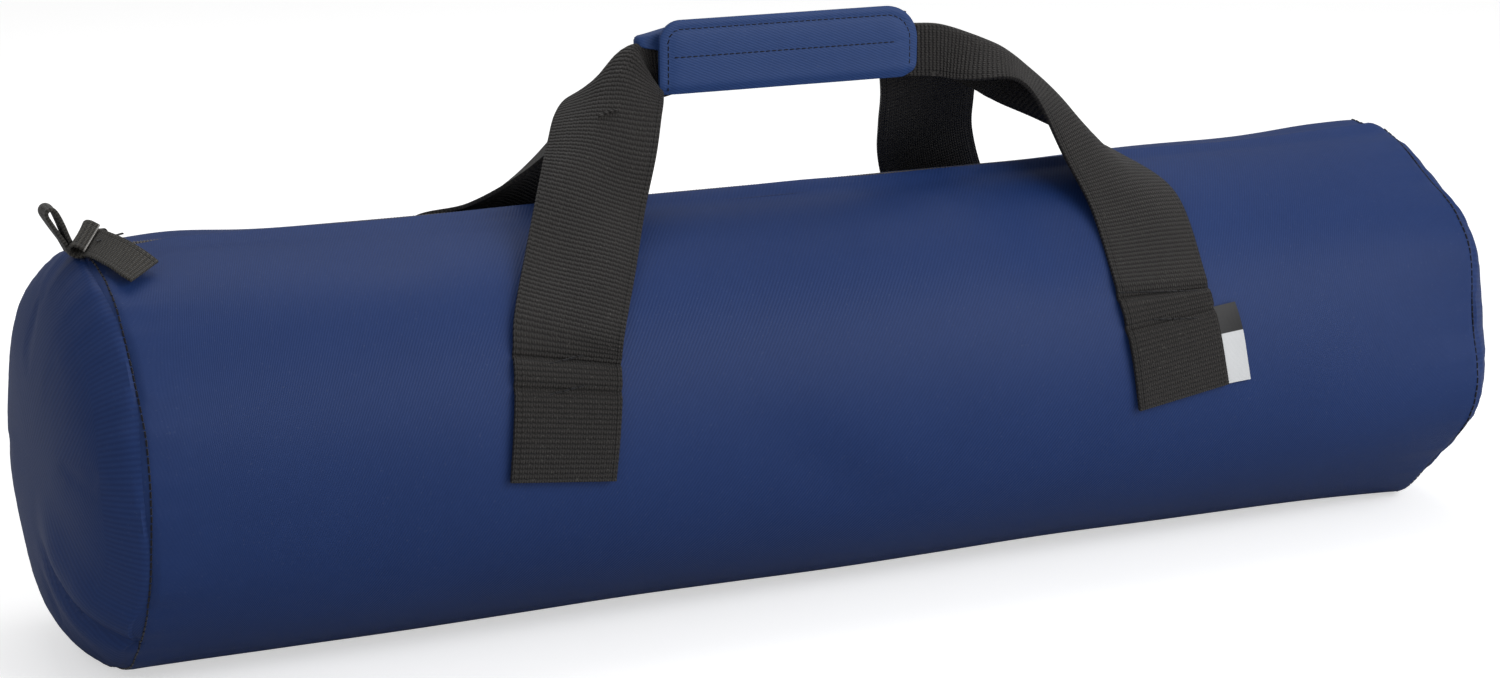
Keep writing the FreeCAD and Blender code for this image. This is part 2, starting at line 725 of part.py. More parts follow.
def buildGrip():
    wrapLayer("grip_wrap_foam", "0", "Sizes.grip_foam", "0.3")
    wrapLayer("grip_wrap_cover", "Sizes.grip_foam + Sizes.grip_gap", "Sizes.grip_cover", "1.6")
    face = "Sizes.grip_cavity + 3 * Sizes.grip_gap + Sizes.grip_foam + Sizes.grip_cover"
    middle = "Sizes.grip_centre + 3"
    low = middle + " - Sizes.hook_width / 2"
    high = middle + " + Sizes.hook_width / 2"
    slab("grip_loop_strip", face, "Sizes.hook_thick", "Sizes.flap_half - 4", low + " + 4", high)
    near = face + " + Sizes.hook_thick + 2 * Sizes.grip_gap"
    slab("grip_hook_strip", near, "Sizes.hook_thick", "Sizes.flap_half - 4", low + " + 4", high)
    near = near + " + Sizes.hook_thick + Sizes.grip_gap"
    low = "Sizes.grip_centre - Sizes.flap_height / 2"
    base = low + " + 2 * Sizes.flap_fold + Sizes.grip_gap"
    top = "Sizes.grip_centre + Sizes.flap_height / 2"
    fold = newBody("grip_flap_fold")
    roll = sketchOn(fold, "YZ_Plane", "FlapFoldSection")
    circle(roll, "-(%s) - Sizes.flap_fold" % near, low + " + Sizes.flap_fold", "Sizes.flap_fold")
    pad(fold, roll, "2 * Sizes.flap_half", symmetric=True)
    keep(fold, "grip_flap_fold")
    slab("grip_flap_foam", near, "Sizes.flap_foam", "Sizes.flap_half - 1.5", base, top + " - 1.5",
         "Sizes.flap_corner - 1.5")
    near = near + " + Sizes.flap_foam + Sizes.grip_gap"
    slab("grip_flap_cover", near, "Sizes.flap_cover", "Sizes.flap_half", base, top, "Sizes.flap_corner")


SLIDER_REST = "Sizes.half_length - 1.5 - Sizes.slider_half"

buildTube()
buildEnd(-1, "left")
buildEnd(1, "right")
buildZip()
buildSlider()
buildBail()
buildPull()
buildEndLoop()
buildStrapEnds()
buildLabel()
buildHandles()
buildGrip()
doc.recompute()

# ---- check and write ----

broken = [o.Name for o in doc.Objects if "Invalid" in o.State or "Error" in o.State]
for node in nodes:
    if node.Shape.isNull() or not node.Shape.isValid() or not node.Shape.Solids:
        broken.append(node.Label)
if broken:
    raise RuntimeError("broken: " + ", ".join(broken))

os.makedirs("parts", exist_ok=True)
for node in nodes:
    node.Shape.exportStep("parts/%s.step" % node.Label)
    box = node.Shape.BoundBox
    print("%-24s %d solids %9.1f mm3  x %.1f..%.1f y %.1f..%.1f z %.1f..%.1f" % (
        node.Label, len(node.Shape.Solids), node.Shape.Volume,
        box.XMin, box.XMax, box.YMin, box.YMax, box.ZMin, box.ZMax))
print(len(nodes), "nodes")
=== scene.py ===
import math
import bmesh
import bpy
import numpy as np
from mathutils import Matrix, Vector, noise
from mathutils.bvhtree import BVHTree


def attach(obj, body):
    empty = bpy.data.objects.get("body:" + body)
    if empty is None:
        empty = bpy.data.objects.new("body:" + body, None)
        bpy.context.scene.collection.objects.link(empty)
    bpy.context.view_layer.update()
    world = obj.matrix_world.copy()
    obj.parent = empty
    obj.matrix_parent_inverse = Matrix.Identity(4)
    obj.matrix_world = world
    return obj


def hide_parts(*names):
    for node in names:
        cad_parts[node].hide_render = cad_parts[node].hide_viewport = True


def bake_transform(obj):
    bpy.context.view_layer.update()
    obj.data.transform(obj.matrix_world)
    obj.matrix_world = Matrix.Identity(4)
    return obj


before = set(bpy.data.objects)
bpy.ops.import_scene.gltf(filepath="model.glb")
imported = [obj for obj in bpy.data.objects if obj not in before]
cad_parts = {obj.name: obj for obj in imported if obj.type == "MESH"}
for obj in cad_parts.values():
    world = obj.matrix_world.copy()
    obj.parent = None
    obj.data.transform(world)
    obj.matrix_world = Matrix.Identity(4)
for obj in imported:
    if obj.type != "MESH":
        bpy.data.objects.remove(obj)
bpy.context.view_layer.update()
print("frame loaded:", len(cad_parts), "nodes")

mm = 0.001
axisZ = 0.0925  # the tube's middle line above the ground


# small tools for picking and shaping

def pick(piece):
    if bpy.context.object and bpy.context.object.mode != "OBJECT":
        bpy.ops.object.mode_set(mode="OBJECT")
    bpy.ops.object.select_all(action="DESELECT")
    if piece:
        piece.select_set(True)
        bpy.context.view_layer.objects.active = piece


def edit(piece):
    pick(piece)
    bpy.ops.object.mode_set(mode="EDIT")
    bpy.ops.mesh.select_all(action="DESELECT")


def leave():
    bpy.ops.object.mode_set(mode="OBJECT")


def selectWhere(piece, kind, test):
    bpy.ops.mesh.select_mode(type=kind)
    bpy.ops.mesh.select_all(action="DESELECT")
    live = bmesh.from_edit_mesh(piece.data)
    items = {"VERT": live.verts, "EDGE": live.edges, "FACE": live.faces}[kind]
    for item in items:
        if test(item):
            item.select_set(True)
    live.select_flush_mode()
    bmesh.update_edit_mesh(piece.data)


def named(name):
    piece = bpy.context.object
    piece.name = name
    piece.data.name = name
    bpy.ops.object.transform_apply(location=True, rotation=True, scale=True)
    return piece


def cutAway(piece, test):
    # the faces that the test picks are taken off
    edit(piece)
    selectWhere(piece, "FACE", test)
    bpy.ops.mesh.delete(type="FACE")
    leave()


def points(piece):
    co = np.zeros(len(piece.data.vertices) * 3)
    piece.data.vertices.foreach_get("co", co)
    return co.reshape(-1, 3)


def place(piece, co):
    piece.data.vertices.foreach_set("co", np.asarray(co, float).ravel())
    piece.data.update()


def applyModifier(piece, kind, **settings):
    pick(piece)
    modifier = piece.modifiers.new(kind.title(), kind)
    for key, value in settings.items():
        setattr(modifier, key, value)
    bpy.ops.object.modifier_apply(modifier=modifier.name)


def openTube(name, around, radius, length, rings, middle):
    # a tube along x, open at both ends and cut into rings
    pick(None)
    bpy.ops.mesh.primitive_cylinder_add(
        vertices=around, radius=radius, depth=length, end_fill_type="NOTHING",
        location=middle, rotation=(0, math.pi / 2, 0))
    piece = named(name)
    edit(piece)
    selectWhere(piece, "EDGE", lambda e: abs(e.verts[0].co.x - e.verts[1].co.x) > length / 2)
    bpy.ops.mesh.subdivide(number_cuts=rings - 1)
    leave()
    return piece


def freshUv(piece):
    while piece.data.uv_layers:
        piece.data.uv_layers.remove(piece.data.uv_layers[0])
    return piece.data.uv_layers.new(name="cloth")


def treeOf(piece):
    return BVHTree.FromPolygons([v.co.copy() for v in piece.data.vertices],
                                [list(p.vertices) for p in piece.data.polygons])


def finish(piece, material, angle=50, doubles=True):
    edit(piece)
    bpy.ops.mesh.select_all(action="SELECT")
    if doubles:
        bpy.ops.mesh.remove_doubles(threshold=1e-6)
    bpy.ops.mesh.normals_make_consistent(inside=False)
    leave()
    bpy.ops.object.shade_smooth_by_angle(angle=math.radians(angle))
    piece.data.materials.clear()
    piece.data.materials.append(material)


def copyOf(piece, name):
    twin = piece.copy()
    twin.data = piece.data.copy()
    twin.name = name
    twin.data.name = name
    bpy.context.scene.collection.objects.link(twin)
    return twin


def joined(pieces, name):
    pick(pieces[0])
    for piece in pieces:
        piece.select_set(True)
    bpy.ops.object.join()
    return named(name)


def smoothstep(low, high, value):
    t = np.clip((np.asarray(value, float) - low) / (high - low), 0, 1)
    return t * t * (3 - 2 * t)


def bump(value, centre, width):
    return np.exp(-((np.asarray(value, float) - centre) / width) ** 2)


def unit(vectors):
    return vectors / np.linalg.norm(vectors, axis=-1, keepdims=True)


def runOf(line):
    # how far along the line each of its points is
    steps = np.linalg.norm(np.diff(line, axis=0), axis=1)
    return np.concatenate([[0], np.cumsum(steps)])


def turnOf(co):
    # angle round the tube from its top, positive to the front
    return np.arctan2(-co[..., 1], co[..., 2] - axisZ)


def radiusOf(co):
    # how far each point is from the tube's middle line
    return np.hypot(co[:, 1], co[:, 2] - axisZ)


def outwards(turn):
    # the way out from the tube's middle line, at an angle from its top in degrees
    t = math.radians(turn)
    return Vector((0, -math.sin(t), math.cos(t)))


def unevenness(co, scale, seed):
    return np.array([noise.noise(Vector(p) * scale + Vector((seed, 0, 0))) for p in co])


# camera, floor and light

view = {"azimuth": -25.6, "elevation": 13.68, "distance": 1.603,
        "target": (-0.019, 0.0, 0.1128), "lens": 80.58}


def addCamera():
    a = math.radians(view["azimuth"])
    e = math.radians(view["elevation"])
    back = Vector((math.sin(a) * math.cos(e), -math.cos(a) * math.cos(e), math.sin(e)))
    data = bpy.data.cameras.new("camera")
    data.lens = view["lens"]
    data.sensor_width = 36
    data.clip_start = 0.01
    camera = bpy.data.objects.new("camera", data)
    camera.location = Vector(view["target"]) + back * view["distance"]
    camera.rotation_euler = back.to_track_quat("Z", "Y").to_euler()
    bpy.context.scene.collection.objects.link(camera)
    bpy.context.scene.camera = camera


def addLight(name, spot, aim, size, power):
    data = bpy.data.lights.new(name, "AREA")
    data.shape = "RECTANGLE"
    data.size, data.size_y = size
    data.energy = power
    lamp = bpy.data.objects.new(name, data)
    lamp.location = spot
    lamp.rotation_euler = (Vector(spot) - Vector(aim)).to_track_quat("Z", "Y").to_euler()
    bpy.context.scene.collection.objects.link(lamp)


studio = {"size": 16, "floor": 0.8, "glow": 0.55, "bounce": 0.62, "world": 0.38}
# each lamp's place, what it points at, its size and its power
lamps = {"key": ((1.0, -1.6, 1.4), (0, 0, 0.1), (1.6, 1.0), 21),
         "side": ((-1.5, -0.9, 1.3), (0, 0, 0.1), (1.0, 1.0), 2.5),
         "fill": ((1.3, -1.5, 0.35), (0.1, 0, 0.08), (1.2, 0.6), 7),
         "top": ((0.2, 0.6, 1.9), (0, 0, 0.1), (1.6, 1.2), 12)}


def addStudio():
    bpy.context.scene.view_settings.view_transform = "Standard"
    world = bpy.data.worlds.new("studio")
    bpy.context.scene.world = world
    world.use_nodes = True
    air = world.node_tree.nodes["Background"]
    air.inputs["Color"].default_value = (1, 1, 1, 1)
    air.inputs["Strength"].default_value = studio["world"]
    pick(None)
    bpy.ops.mesh.primitive_plane_add(size=studio["size"], location=(0, 0, 0))
    floor = named("floor")
    paper = bpy.data.materials.new("paper")
    paper.use_nodes = True
    tree = paper.node_tree
    skin = tree.nodes["Principled BSDF"]
    skin.inputs["Base Color"].default_value = (studio["floor"],) * 3 + (1,)
    skin.inputs["Roughness"].default_value = 0.9
    skin.inputs["Specular IOR Level"].default_value = 0.1
    # the paper is lit from below as well, but throws little of that on the bag
    dim = tree.nodes.new("ShaderNodeBsdfDiffuse")
    dim.inputs["Color"].default_value = (studio["bounce"],) * 3 + (1,)
    skin.inputs["Emission Color"].default_value = (1, 1, 1, 1)
    skin.inputs["Emission Strength"].default_value = studio["glow"]
    seen = tree.nodes.new("ShaderNodeLightPath")
    choose = tree.nodes.new("ShaderNodeMixShader")
    tree.links.new(seen.outputs["Is Camera Ray"], choose.inputs["Fac"])
    tree.links.new(dim.outputs[0], choose.inputs[1])
    tree.links.new(skin.outputs[0], choose.inputs[2])
    tree.links.new(choose.outputs[0], tree.nodes["Material Output"].inputs["Surface"])
    floor.data.materials.append(paper)
    for name, lamp in lamps.items():
        addLight(name, *lamp)


addCamera()
addStudio()
print("camera, floor and light are in")


# node helpers

def feed(tree, socket, value):
    if isinstance(value, bpy.types.NodeSocket):
        tree.links.new(value, socket)
    else:
        socket.default_value = value


def calc(tree, operation, *values):
    node = tree.nodes.new("ShaderNodeMath")
    node.operation = operation
    for socket, value in zip(node.inputs, values):
        feed(tree, socket, value)
    return node.outputs[0]


def split(tree, vector):
    node = tree.nodes.new("ShaderNodeSeparateXYZ")
    tree.links.new(vector, node.inputs[0])
    return node.outputs


def cloudy(tree, vector, scale, detail=3.0, roughness=0.55):
    node = tree.nodes.new("ShaderNodeTexNoise")
    tree.links.new(vector, node.inputs["Vector"])
    node.inputs["Scale"].default_value = scale
    node.inputs["Detail"].default_value = detail
    node.inputs["Roughness"].default_value = roughness
    return node.outputs["Fac"]


def remap(tree, value, low, high, newLow=0.0, newHigh=1.0):
    node = tree.nodes.new("ShaderNodeMapRange")
    feed(tree, node.inputs["Value"], value)
    node.inputs["From Min"].default_value = low
    node.inputs["From Max"].default_value = high
    node.inputs["To Min"].default_value = newLow
    node.inputs["To Max"].default_value = newHigh
    return node.outputs["Result"]


def mixed(tree, factor, first, second):
    node = tree.nodes.new("ShaderNodeMix")
    node.data_type = "RGBA"
    feed(tree, node.inputs["Factor"], factor)
    feed(tree, node.inputs["A"], first)
    feed(tree, node.inputs["B"], second)
    return node.outputs["Result"]


def newGroup(name, inputs, outputs):
    tree = bpy.data.node_groups.new(name, "ShaderNodeTree")
    for label, kind, value in inputs:
        socket = tree.interface.new_socket(label, in_out="INPUT", socket_type=kind)
        if value is not None:
            socket.default_value = value
    for label, kind in outputs:
        tree.interface.new_socket(label, in_out="OUTPUT", socket_type=kind)
    return tree, tree.nodes.new("NodeGroupInput"), tree.nodes.new("NodeGroupOutput")


def useGroup(tree, group, **values):
    node = tree.nodes.new("ShaderNodeGroup")
    node.node_tree = group
    for key, value in values.items():
        feed(tree, node.inputs[key], value)
    return node.outputs


def waves(tree, value, pitch):
    # 0 to 1 and back once in each pitch
    turn = calc(tree, "MULTIPLY", calc(tree, "DIVIDE", value, pitch), 2 * math.pi)
    return calc(tree, "MULTIPLY_ADD", calc(tree, "SINE", turn), 0.5, 0.5)


# the effects that the cloths share

def makeTwill():
    # fine twill: slanted ridges of threads, broken up a little
    tree, into, out = newGroup("twillWeave", [("Vector", "NodeSocketVector", None),
                                              ("Pitch", "NodeSocketFloat", 0.0012)],
                               [("Height", "NodeSocketFloat"), ("Shade", "NodeSocketFloat")])
    vector = into.outputs["Vector"]
    pitch = into.outputs["Pitch"]
    u, v = split(tree, vector)[:2]
    wander = calc(tree, "MULTIPLY", calc(tree, "SUBTRACT", cloudy(tree, vector, 180), 0.5), 0.0006)
    slant = calc(tree, "ADD", calc(tree, "MULTIPLY_ADD", u, 0.42, v), wander)
    ridge = waves(tree, slant, pitch)
    across = calc(tree, "SUBTRACT", u, calc(tree, "MULTIPLY", v, 0.42))
    thread = waves(tree, across, calc(tree, "MULTIPLY", pitch, 0.5))
    fuzz = cloudy(tree, vector, 2600, 2.0)
    height = calc(tree, "MULTIPLY_ADD", thread, calc(tree, "MULTIPLY", ridge, 0.25),
                  calc(tree, "MULTIPLY_ADD", ridge, 0.45, calc(tree, "MULTIPLY", fuzz, 0.3)))
    tree.links.new(height, out.inputs["Height"])
    tree.links.new(remap(tree, height, 0.05, 0.95), out.inputs["Shade"])
    return tree


def makeWebbing():
    # woven strap: ribs across its width in rows that step past each other
    tree, into, out = newGroup("webbingWeave", [("Vector", "NodeSocketVector", None),
                                                ("Rib", "NodeSocketFloat", 0.0024),
                                                ("Row", "NodeSocketFloat", 0.0012),
                                                ("Half", "NodeSocketFloat", 0.025)],
                               [("Height", "NodeSocketFloat"), ("Shade", "NodeSocketFloat"),
                                ("Edge", "NodeSocketFloat")])
    vector = into.outputs["Vector"]
    along, over = split(tree, vector)[:2]
    row = into.outputs["Row"]
    rib = into.outputs["Rib"]
    inward = calc(tree, "SUBTRACT", into.outputs["Half"], calc(tree, "ABSOLUTE", over))
    step = calc(tree, "PINGPONG", over, row)
    wander = calc(tree, "MULTIPLY", calc(tree, "SUBTRACT", cloudy(tree, vector, 320), 0.5), 0.0006)
    shifted = calc(tree, "ADD", calc(tree, "MULTIPLY_ADD", step, 0.25, along), wander)
    ribs = calc(tree, "POWER", waves(tree, shifted, rib), 0.7)
    knots = waves(tree, over, row)
    fuzz = cloudy(tree, vector, 2100, 2.0)
    body = calc(tree, "MULTIPLY", ribs, calc(tree, "MULTIPLY_ADD", knots, 0.5, 0.5))
    height = calc(tree, "MULTIPLY_ADD", fuzz, 0.3, body)
    edge = remap(tree, inward, 0.0004, 0.0022, 1.0, 0.0)
    groove = remap(tree, calc(tree, "ABSOLUTE", calc(tree, "SUBTRACT", inward, 0.0026)),
                   0.0, 0.0006, 0.35, 0.0)
    height = calc(tree, "SUBTRACT", height, groove)
    tree.links.new(height, out.inputs["Height"])
    tree.links.new(remap(tree, height, 0.1, 1.05), out.inputs["Shade"])
    tree.links.new(edge, out.inputs["Edge"])
    return tree


def makeHandled():
    # slow changes of tone and a little pale dust, as on cloth that has been carried
    tree, into, out = newGroup("handledCloth", [("Vector", "NodeSocketVector", None),
                                                ("Amount", "NodeSocketFloat", 0.5)],
                               [("Tone", "NodeSocketFloat"), ("Dust", "NodeSocketFloat")])
    vector = into.outputs["Vector"]
    broad = remap(tree, cloudy(tree, vector, 9, 4.0), 0.3, 0.7)
    fine = remap(tree, cloudy(tree, vector, 160, 3.0), 0.3, 0.7)
    tone = calc(tree, "MULTIPLY", calc(tree, "MULTIPLY_ADD", fine, 0.3, calc(
        tree, "MULTIPLY", broad, 0.7)), into.outputs["Amount"])
    specks = remap(tree, cloudy(tree, vector, 900, 1.0), 0.66, 0.8)
    tree.links.new(tone, out.inputs["Tone"])
    tree.links.new(calc(tree, "MULTIPLY", specks, into.outputs["Amount"]), out.inputs["Dust"])
    return tree


twillWeave = makeTwill()
webbingWeave = makeWebbing()
handledCloth = makeHandled()


def startMaterial(name, roughness, specular, sheen=0.0, metallic=0.0):
    material = bpy.data.materials.new(name)
    material.use_nodes = True
    tree = material.node_tree
    skin = tree.nodes["Principled BSDF"]
    skin.inputs["Roughness"].default_value = roughness
    skin.inputs["Specular IOR Level"].default_value = specular
    skin.inputs["Sheen Weight"].default_value = sheen
    skin.inputs["Sheen Roughness"].default_value = 0.45
    skin.inputs["Metallic"].default_value = metallic
    where = tree.nodes.new("ShaderNodeTexCoord")
    return material, tree, skin, where


def addRelief(tree, skin, height, distance):
    node = tree.nodes.new("ShaderNodeBump")
    node.inputs["Strength"].default_value = 1.0
    node.inputs["Distance"].default_value = distance
    tree.links.new(height, node.inputs["Height"])
    tree.links.new(node.outputs["Normal"], skin.inputs["Normal"])


def clothMaterial(name, dark, light, pitch, relief, roughness, specular, sheen, uv=True,
                  handled=0.5):
    material, tree, skin, where = startMaterial(name, roughness, specular, sheen)
    spot = where.outputs["UV"] if uv else where.outputs["Object"]
    weave = useGroup(tree, twillWeave, Vector=spot, Pitch=pitch)
    wear = useGroup(tree, handledCloth, Vector=where.outputs["Object"], Amount=handled)
    base = mixed(tree, weave["Shade"], dark, light)
    lighter = tuple(min(1, c * 1.35 + 0.004) for c in light[:3]) + (1,)
    toned = mixed(tree, calc(tree, "MULTIPLY", wear["Tone"], 0.5), base, lighter)
    dusted = mixed(tree, calc(tree, "MULTIPLY", wear["Dust"], 0.12), toned, (0.3, 0.32, 0.36, 1))
    tree.links.new(dusted, skin.inputs["Base Color"])
    addRelief(tree, skin, weave["Height"], relief)
    return material


def webbingMaterial(name, dark, light, half, rib=0.0024, row=0.0012, relief=0.0005,
                    sheen=0.15, cutEnd=None):
    material, tree, skin, where = startMaterial(name, 0.6, 0.35, sheen)
    weave = useGroup(tree, webbingWeave, Vector=where.outputs["UV"], Rib=rib, Row=row, Half=half)
    wear = useGroup(tree, handledCloth, Vector=where.outputs["Object"], Amount=0.7)
    base = mixed(tree, weave["Shade"], dark, light)
    toned = mixed(tree, calc(tree, "MULTIPLY", wear["Tone"], 0.4), base,
                  tuple(c * 1.7 for c in light[:3]) + (1,))
    edged = mixed(tree, calc(tree, "MULTIPLY", weave["Edge"], 0.35), toned,
                  tuple(c * 0.6 for c in light[:3]) + (1,))
    dusted = mixed(tree, calc(tree, "MULTIPLY", wear["Dust"], 0.25), edged, (0.3, 0.29, 0.26, 1))
    if cutEnd:
        along = split(tree, where.outputs["UV"])[0]
        frayed = remap(tree, along, cutEnd, cutEnd + 0.0006)
        dusted = mixed(tree, frayed, dusted, (0.55, 0.53, 0.5, 1))
    tree.links.new(dusted, skin.inputs["Base Color"])
    addRelief(tree, skin, weave["Height"], relief)
    return material


def fuzzyMaterial(name, dark, light, scale, relief, roughness=0.95):
    material, tree, skin, where = startMaterial(name, roughness, 0.2, 0.3)
    grain = cloudy(tree, where.outputs["Object"], scale, 4.0, 0.7)
    tree.links.new(mixed(tree, remap(tree, grain, 0.3, 0.7), dark, light),
                   skin.inputs["Base Color"])
    addRelief(tree, skin, grain, relief)
    return material


def metalMaterial(name, dark, light):
    material, tree, skin, where = startMaterial(name, 0.38, 0.5, 0.0, 0.85)
    smear = cloudy(tree, where.outputs["Object"], 420, 5.0, 0.65)
    tree.links.new(mixed(tree, remap(tree, smear, 0.35, 0.7), dark, light),
                   skin.inputs["Base Color"])
    tree.links.new(remap(tree, smear, 0.3, 0.7, 0.28, 0.52), skin.inputs["Roughness"])
    addRelief(tree, skin, cloudy(tree, where.outputs["Object"], 1500, 2.0), 0.00004)
    return material


bagCloth = clothMaterial("navyPolyester", (0.0080, 0.025, 0.106, 1), (0.0140, 0.040, 0.150, 1),
                         0.0019, 0.00010, 0.53, 0.21, 0.0)
gripCloth = clothMaterial("navyGripCloth", (0.0125, 0.038, 0.135, 1), (0.0205, 0.056, 0.185, 1),
                          0.0013, 0.0001, 0.52, 0.26, 0.0)
strapWebbing = webbingMaterial("blackWebbing", (0.0012, 0.0011, 0.0011, 1),
                               (0.025, 0.0220, 0.0205, 1), 0.025, 0.0022, 0.0012, 0.0009, 0.05)
tabWebbing = webbingMaterial("tabWebbing", (0.004, 0.0036, 0.0033, 1), (0.062, 0.056, 0.046, 1),
                             0.0095, 0.0019, 0.001, 0.0012, 0.1, 0.0545)
loopWebbing = webbingMaterial("loopWebbing", (0.005, 0.0047, 0.0044, 1), (0.045, 0.042, 0.036, 1),
                              0.006, 0.0015, 0.0009, 0.0004)
liningCloth = clothMaterial("darkLining", (0.012, 0.013, 0.016, 1), (0.024, 0.026, 0.03, 1),
                            0.0012, 0.00008, 0.7, 0.3, 0.1, uv=False)
bindingTape = clothMaterial("blackBinding", (0.006, 0.006, 0.006, 1), (0.018, 0.018, 0.018, 1),
                            0.0016, 0.00015, 0.75, 0.3, 0.1, uv=False)
zipTape = clothMaterial("zipTape", (0.006, 0.012, 0.05, 1), (0.012, 0.024, 0.085, 1),
                        0.0011, 0.00012, 0.75, 0.3, 0.1, uv=False)
foamSheet = fuzzyMaterial("whiteFoam", (0.55, 0.55, 0.53, 1), (0.8, 0.8, 0.78, 1), 900, 0.0002)
hookPile = fuzzyMaterial("hookAndLoop", (0.002, 0.002, 0.002, 1), (0.02, 0.02, 0.02, 1), 2200,
                         0.0005)
darkThread = fuzzyMaterial("darkThread", (0.0008, 0.0012, 0.005, 1), (0.003, 0.004, 0.012, 1), 3000,
                           0.0001, 0.7)
thread = fuzzyMaterial("blackThread", (0.002, 0.002, 0.003, 1), (0.012, 0.012, 0.015, 1), 3000,
                       0.0001, 0.7)
coilPlastic = fuzzyMaterial("zipCoil", (0.012, 0.009, 0.007, 1), (0.075, 0.052, 0.036, 1), 700,
                            0.00005, 0.45)
darkMetal = metalMaterial("gunmetal", (0.05, 0.047, 0.043, 1), (0.16, 0.15, 0.14, 1))
print("materials are mixed")


# the bag's shell: a tube with two round ends, sewn to it, and a slot along its top

shell = {"radius": 0.0942, "half": 0.340, "around": 200, "rings": 150, "crowd": 0.7,
         "slot": 0.0061, "rise": 0.024, "crown": 5.5, "rims": (0.0015, 0.002, 0.003, 0.004, 0.005),
         "pressure": 4.0, "frames": 20, "cap": 0.006, "thick": 0.0014, "ground": 0.0004}
# rises of the tube's top line: height, where along the tube, and how wide
topLine = ((0.0030, -0.295, 0.03), (-0.0034, -0.02, 0.12), (0.0022, 0.215, 0.06))
# dents in the tube: depth, turn from the top and width in degrees, how far x shifts for each
# degree, then where along the tube and how wide
dents = ((0.0040, 40, 16, 0, 0.108, 0.02), (0.0022, 104, 16, 0.0015, -0.176, 0.022),
         (0.0018, 22, 10, 0, -0.215, 0.02), (0.0012, 24, 14, 0.0006, 0.035, 0.008),
         (0.0009, 30, 12, -0.0005, -0.005, 0.01))


def cutShell():
    half = shell["half"]
    bag = openTube("bagShell", shell["around"], shell["radius"], 2 * half, shell["rings"],
                   (0, 0, axisZ))
    co = points(bag)
    s = co[:, 0] / half
    crowd = shell["crowd"]
    co[:, 0] = half * (s * (1 - crowd) + crowd * np.sin(s * math.pi / 2))
    place(bag, co)
    for side in (-1, 1):
        edit(bag)
        selectWhere(bag, "EDGE", lambda e: e.is_boundary and
                    all(v.co.x * side > half - 1e-5 for v in e.verts))
        radius = shell["radius"]
        for width in shell["rims"]:
            bpy.ops.mesh.extrude_region_move()
            share = (radius - width) / radius
            radius -= width
            bpy.ops.transform.resize(value=(1, share, share),
                                     center_override=(side * half, 0, axisZ))
        bpy.ops.mesh.fill_grid(span=shell["around"] // 4)
        leave()
    for panel in range(3):
        bag.data.materials.append(bagCloth)
    co = points(bag)
    radial = radiusOf(co) / shell["radius"]
    for poly in bag.data.polygons:
        if abs(poly.center.x) > half - 1e-6:
            poly.material_index = 1 if poly.center.x < 0 else 2
    isEnd = np.abs(co[:, 0]) > half - 1e-6
    crown = shell["rise"] * (1 - np.clip(radial, 0, 1) ** shell["crown"])
    co[isEnd, 0] += np.sign(co[isEnd, 0]) * crown[isEnd]
    addClothUv(bag)
    place(bag, co)
    edit(bag)
    selectWhere(bag, "FACE", lambda f: f.material_index == 0 and
                f.calc_center_median().z > axisZ and
                abs(f.calc_center_median().y) < shell["slot"])
    bpy.ops.mesh.delete(type="FACE")
    bpy.ops.mesh.select_all(action="SELECT")
    bpy.ops.mesh.normals_make_consistent(inside=False)
    leave()
    return bag


def addClothUv(bag):
    # the flat cut of each panel, in metres
    layer = bag.data.uv_layers.new(name="cloth")
    co = points(bag)
    turn = np.arctan2(-co[:, 1], axisZ - co[:, 2])
    for poly in bag.data.polygons:
        corners = list(poly.loop_indices)
        spots = list(poly.vertices)
        angles = turn[spots]
        if angles.max() - angles.min() > math.pi:
            angles = np.where(angles < 0, angles + 2 * math.pi, angles)
        for corner, spot, angle in zip(corners, spots, angles):
            if poly.material_index == 0:
                layer.data[corner].uv = (co[spot, 0], angle * 0.095)
            else:
                layer.data[corner].uv = (co[spot, 1], co[spot, 2])


def group(piece, name, weights):
    found = piece.vertex_groups.new(name=name)
    for index in np.nonzero(weights > 0.001)[0]:
        found.add([int(index)], float(weights[index]), "REPLACE")


def inflate(piece, pinned, loose, pressure, frames, cap, growth):
    # blown up from inside, held at the sewn lines, with some spare cloth beside them
    before = points(piece)
    group(piece, "sewn", pinned)
    group(piece, "spare", loose)
    pick(piece)
    cloth = piece.modifiers.new("Cloth", "CLOTH")
    how = {"quality": 6, "mass": 0.3, "tension_stiffness": 18, "compression_stiffness": 18,
           "shear_stiffness": 6, "bending_stiffness": 0.4, "use_pressure": True,
           "uniform_pressure_force": pressure, "vertex_group_mass": "sewn",
           "vertex_group_shrink": "spare", "shrink_min": 0.0, "shrink_max": growth}
    for key, value in how.items():
        setattr(cloth.settings, key, value)
    cloth.settings.effector_weights.gravity = 0
    cloth.collision_settings.use_collision = False
    cloth.point_cache.frame_start = 1
    cloth.point_cache.frame_end = frames
    for number in range(1, frames + 1):
        bpy.context.scene.frame_set(number)
    bpy.ops.object.modifier_apply(modifier=cloth.name)
    bpy.context.scene.frame_set(1)
    moved = points(piece) - before
    far = np.linalg.norm(moved, axis=1, keepdims=True)
    moved *= np.minimum(1, cap / np.maximum(far, 1e-9))
    place(piece, before + moved)
    piece.vertex_groups.clear()


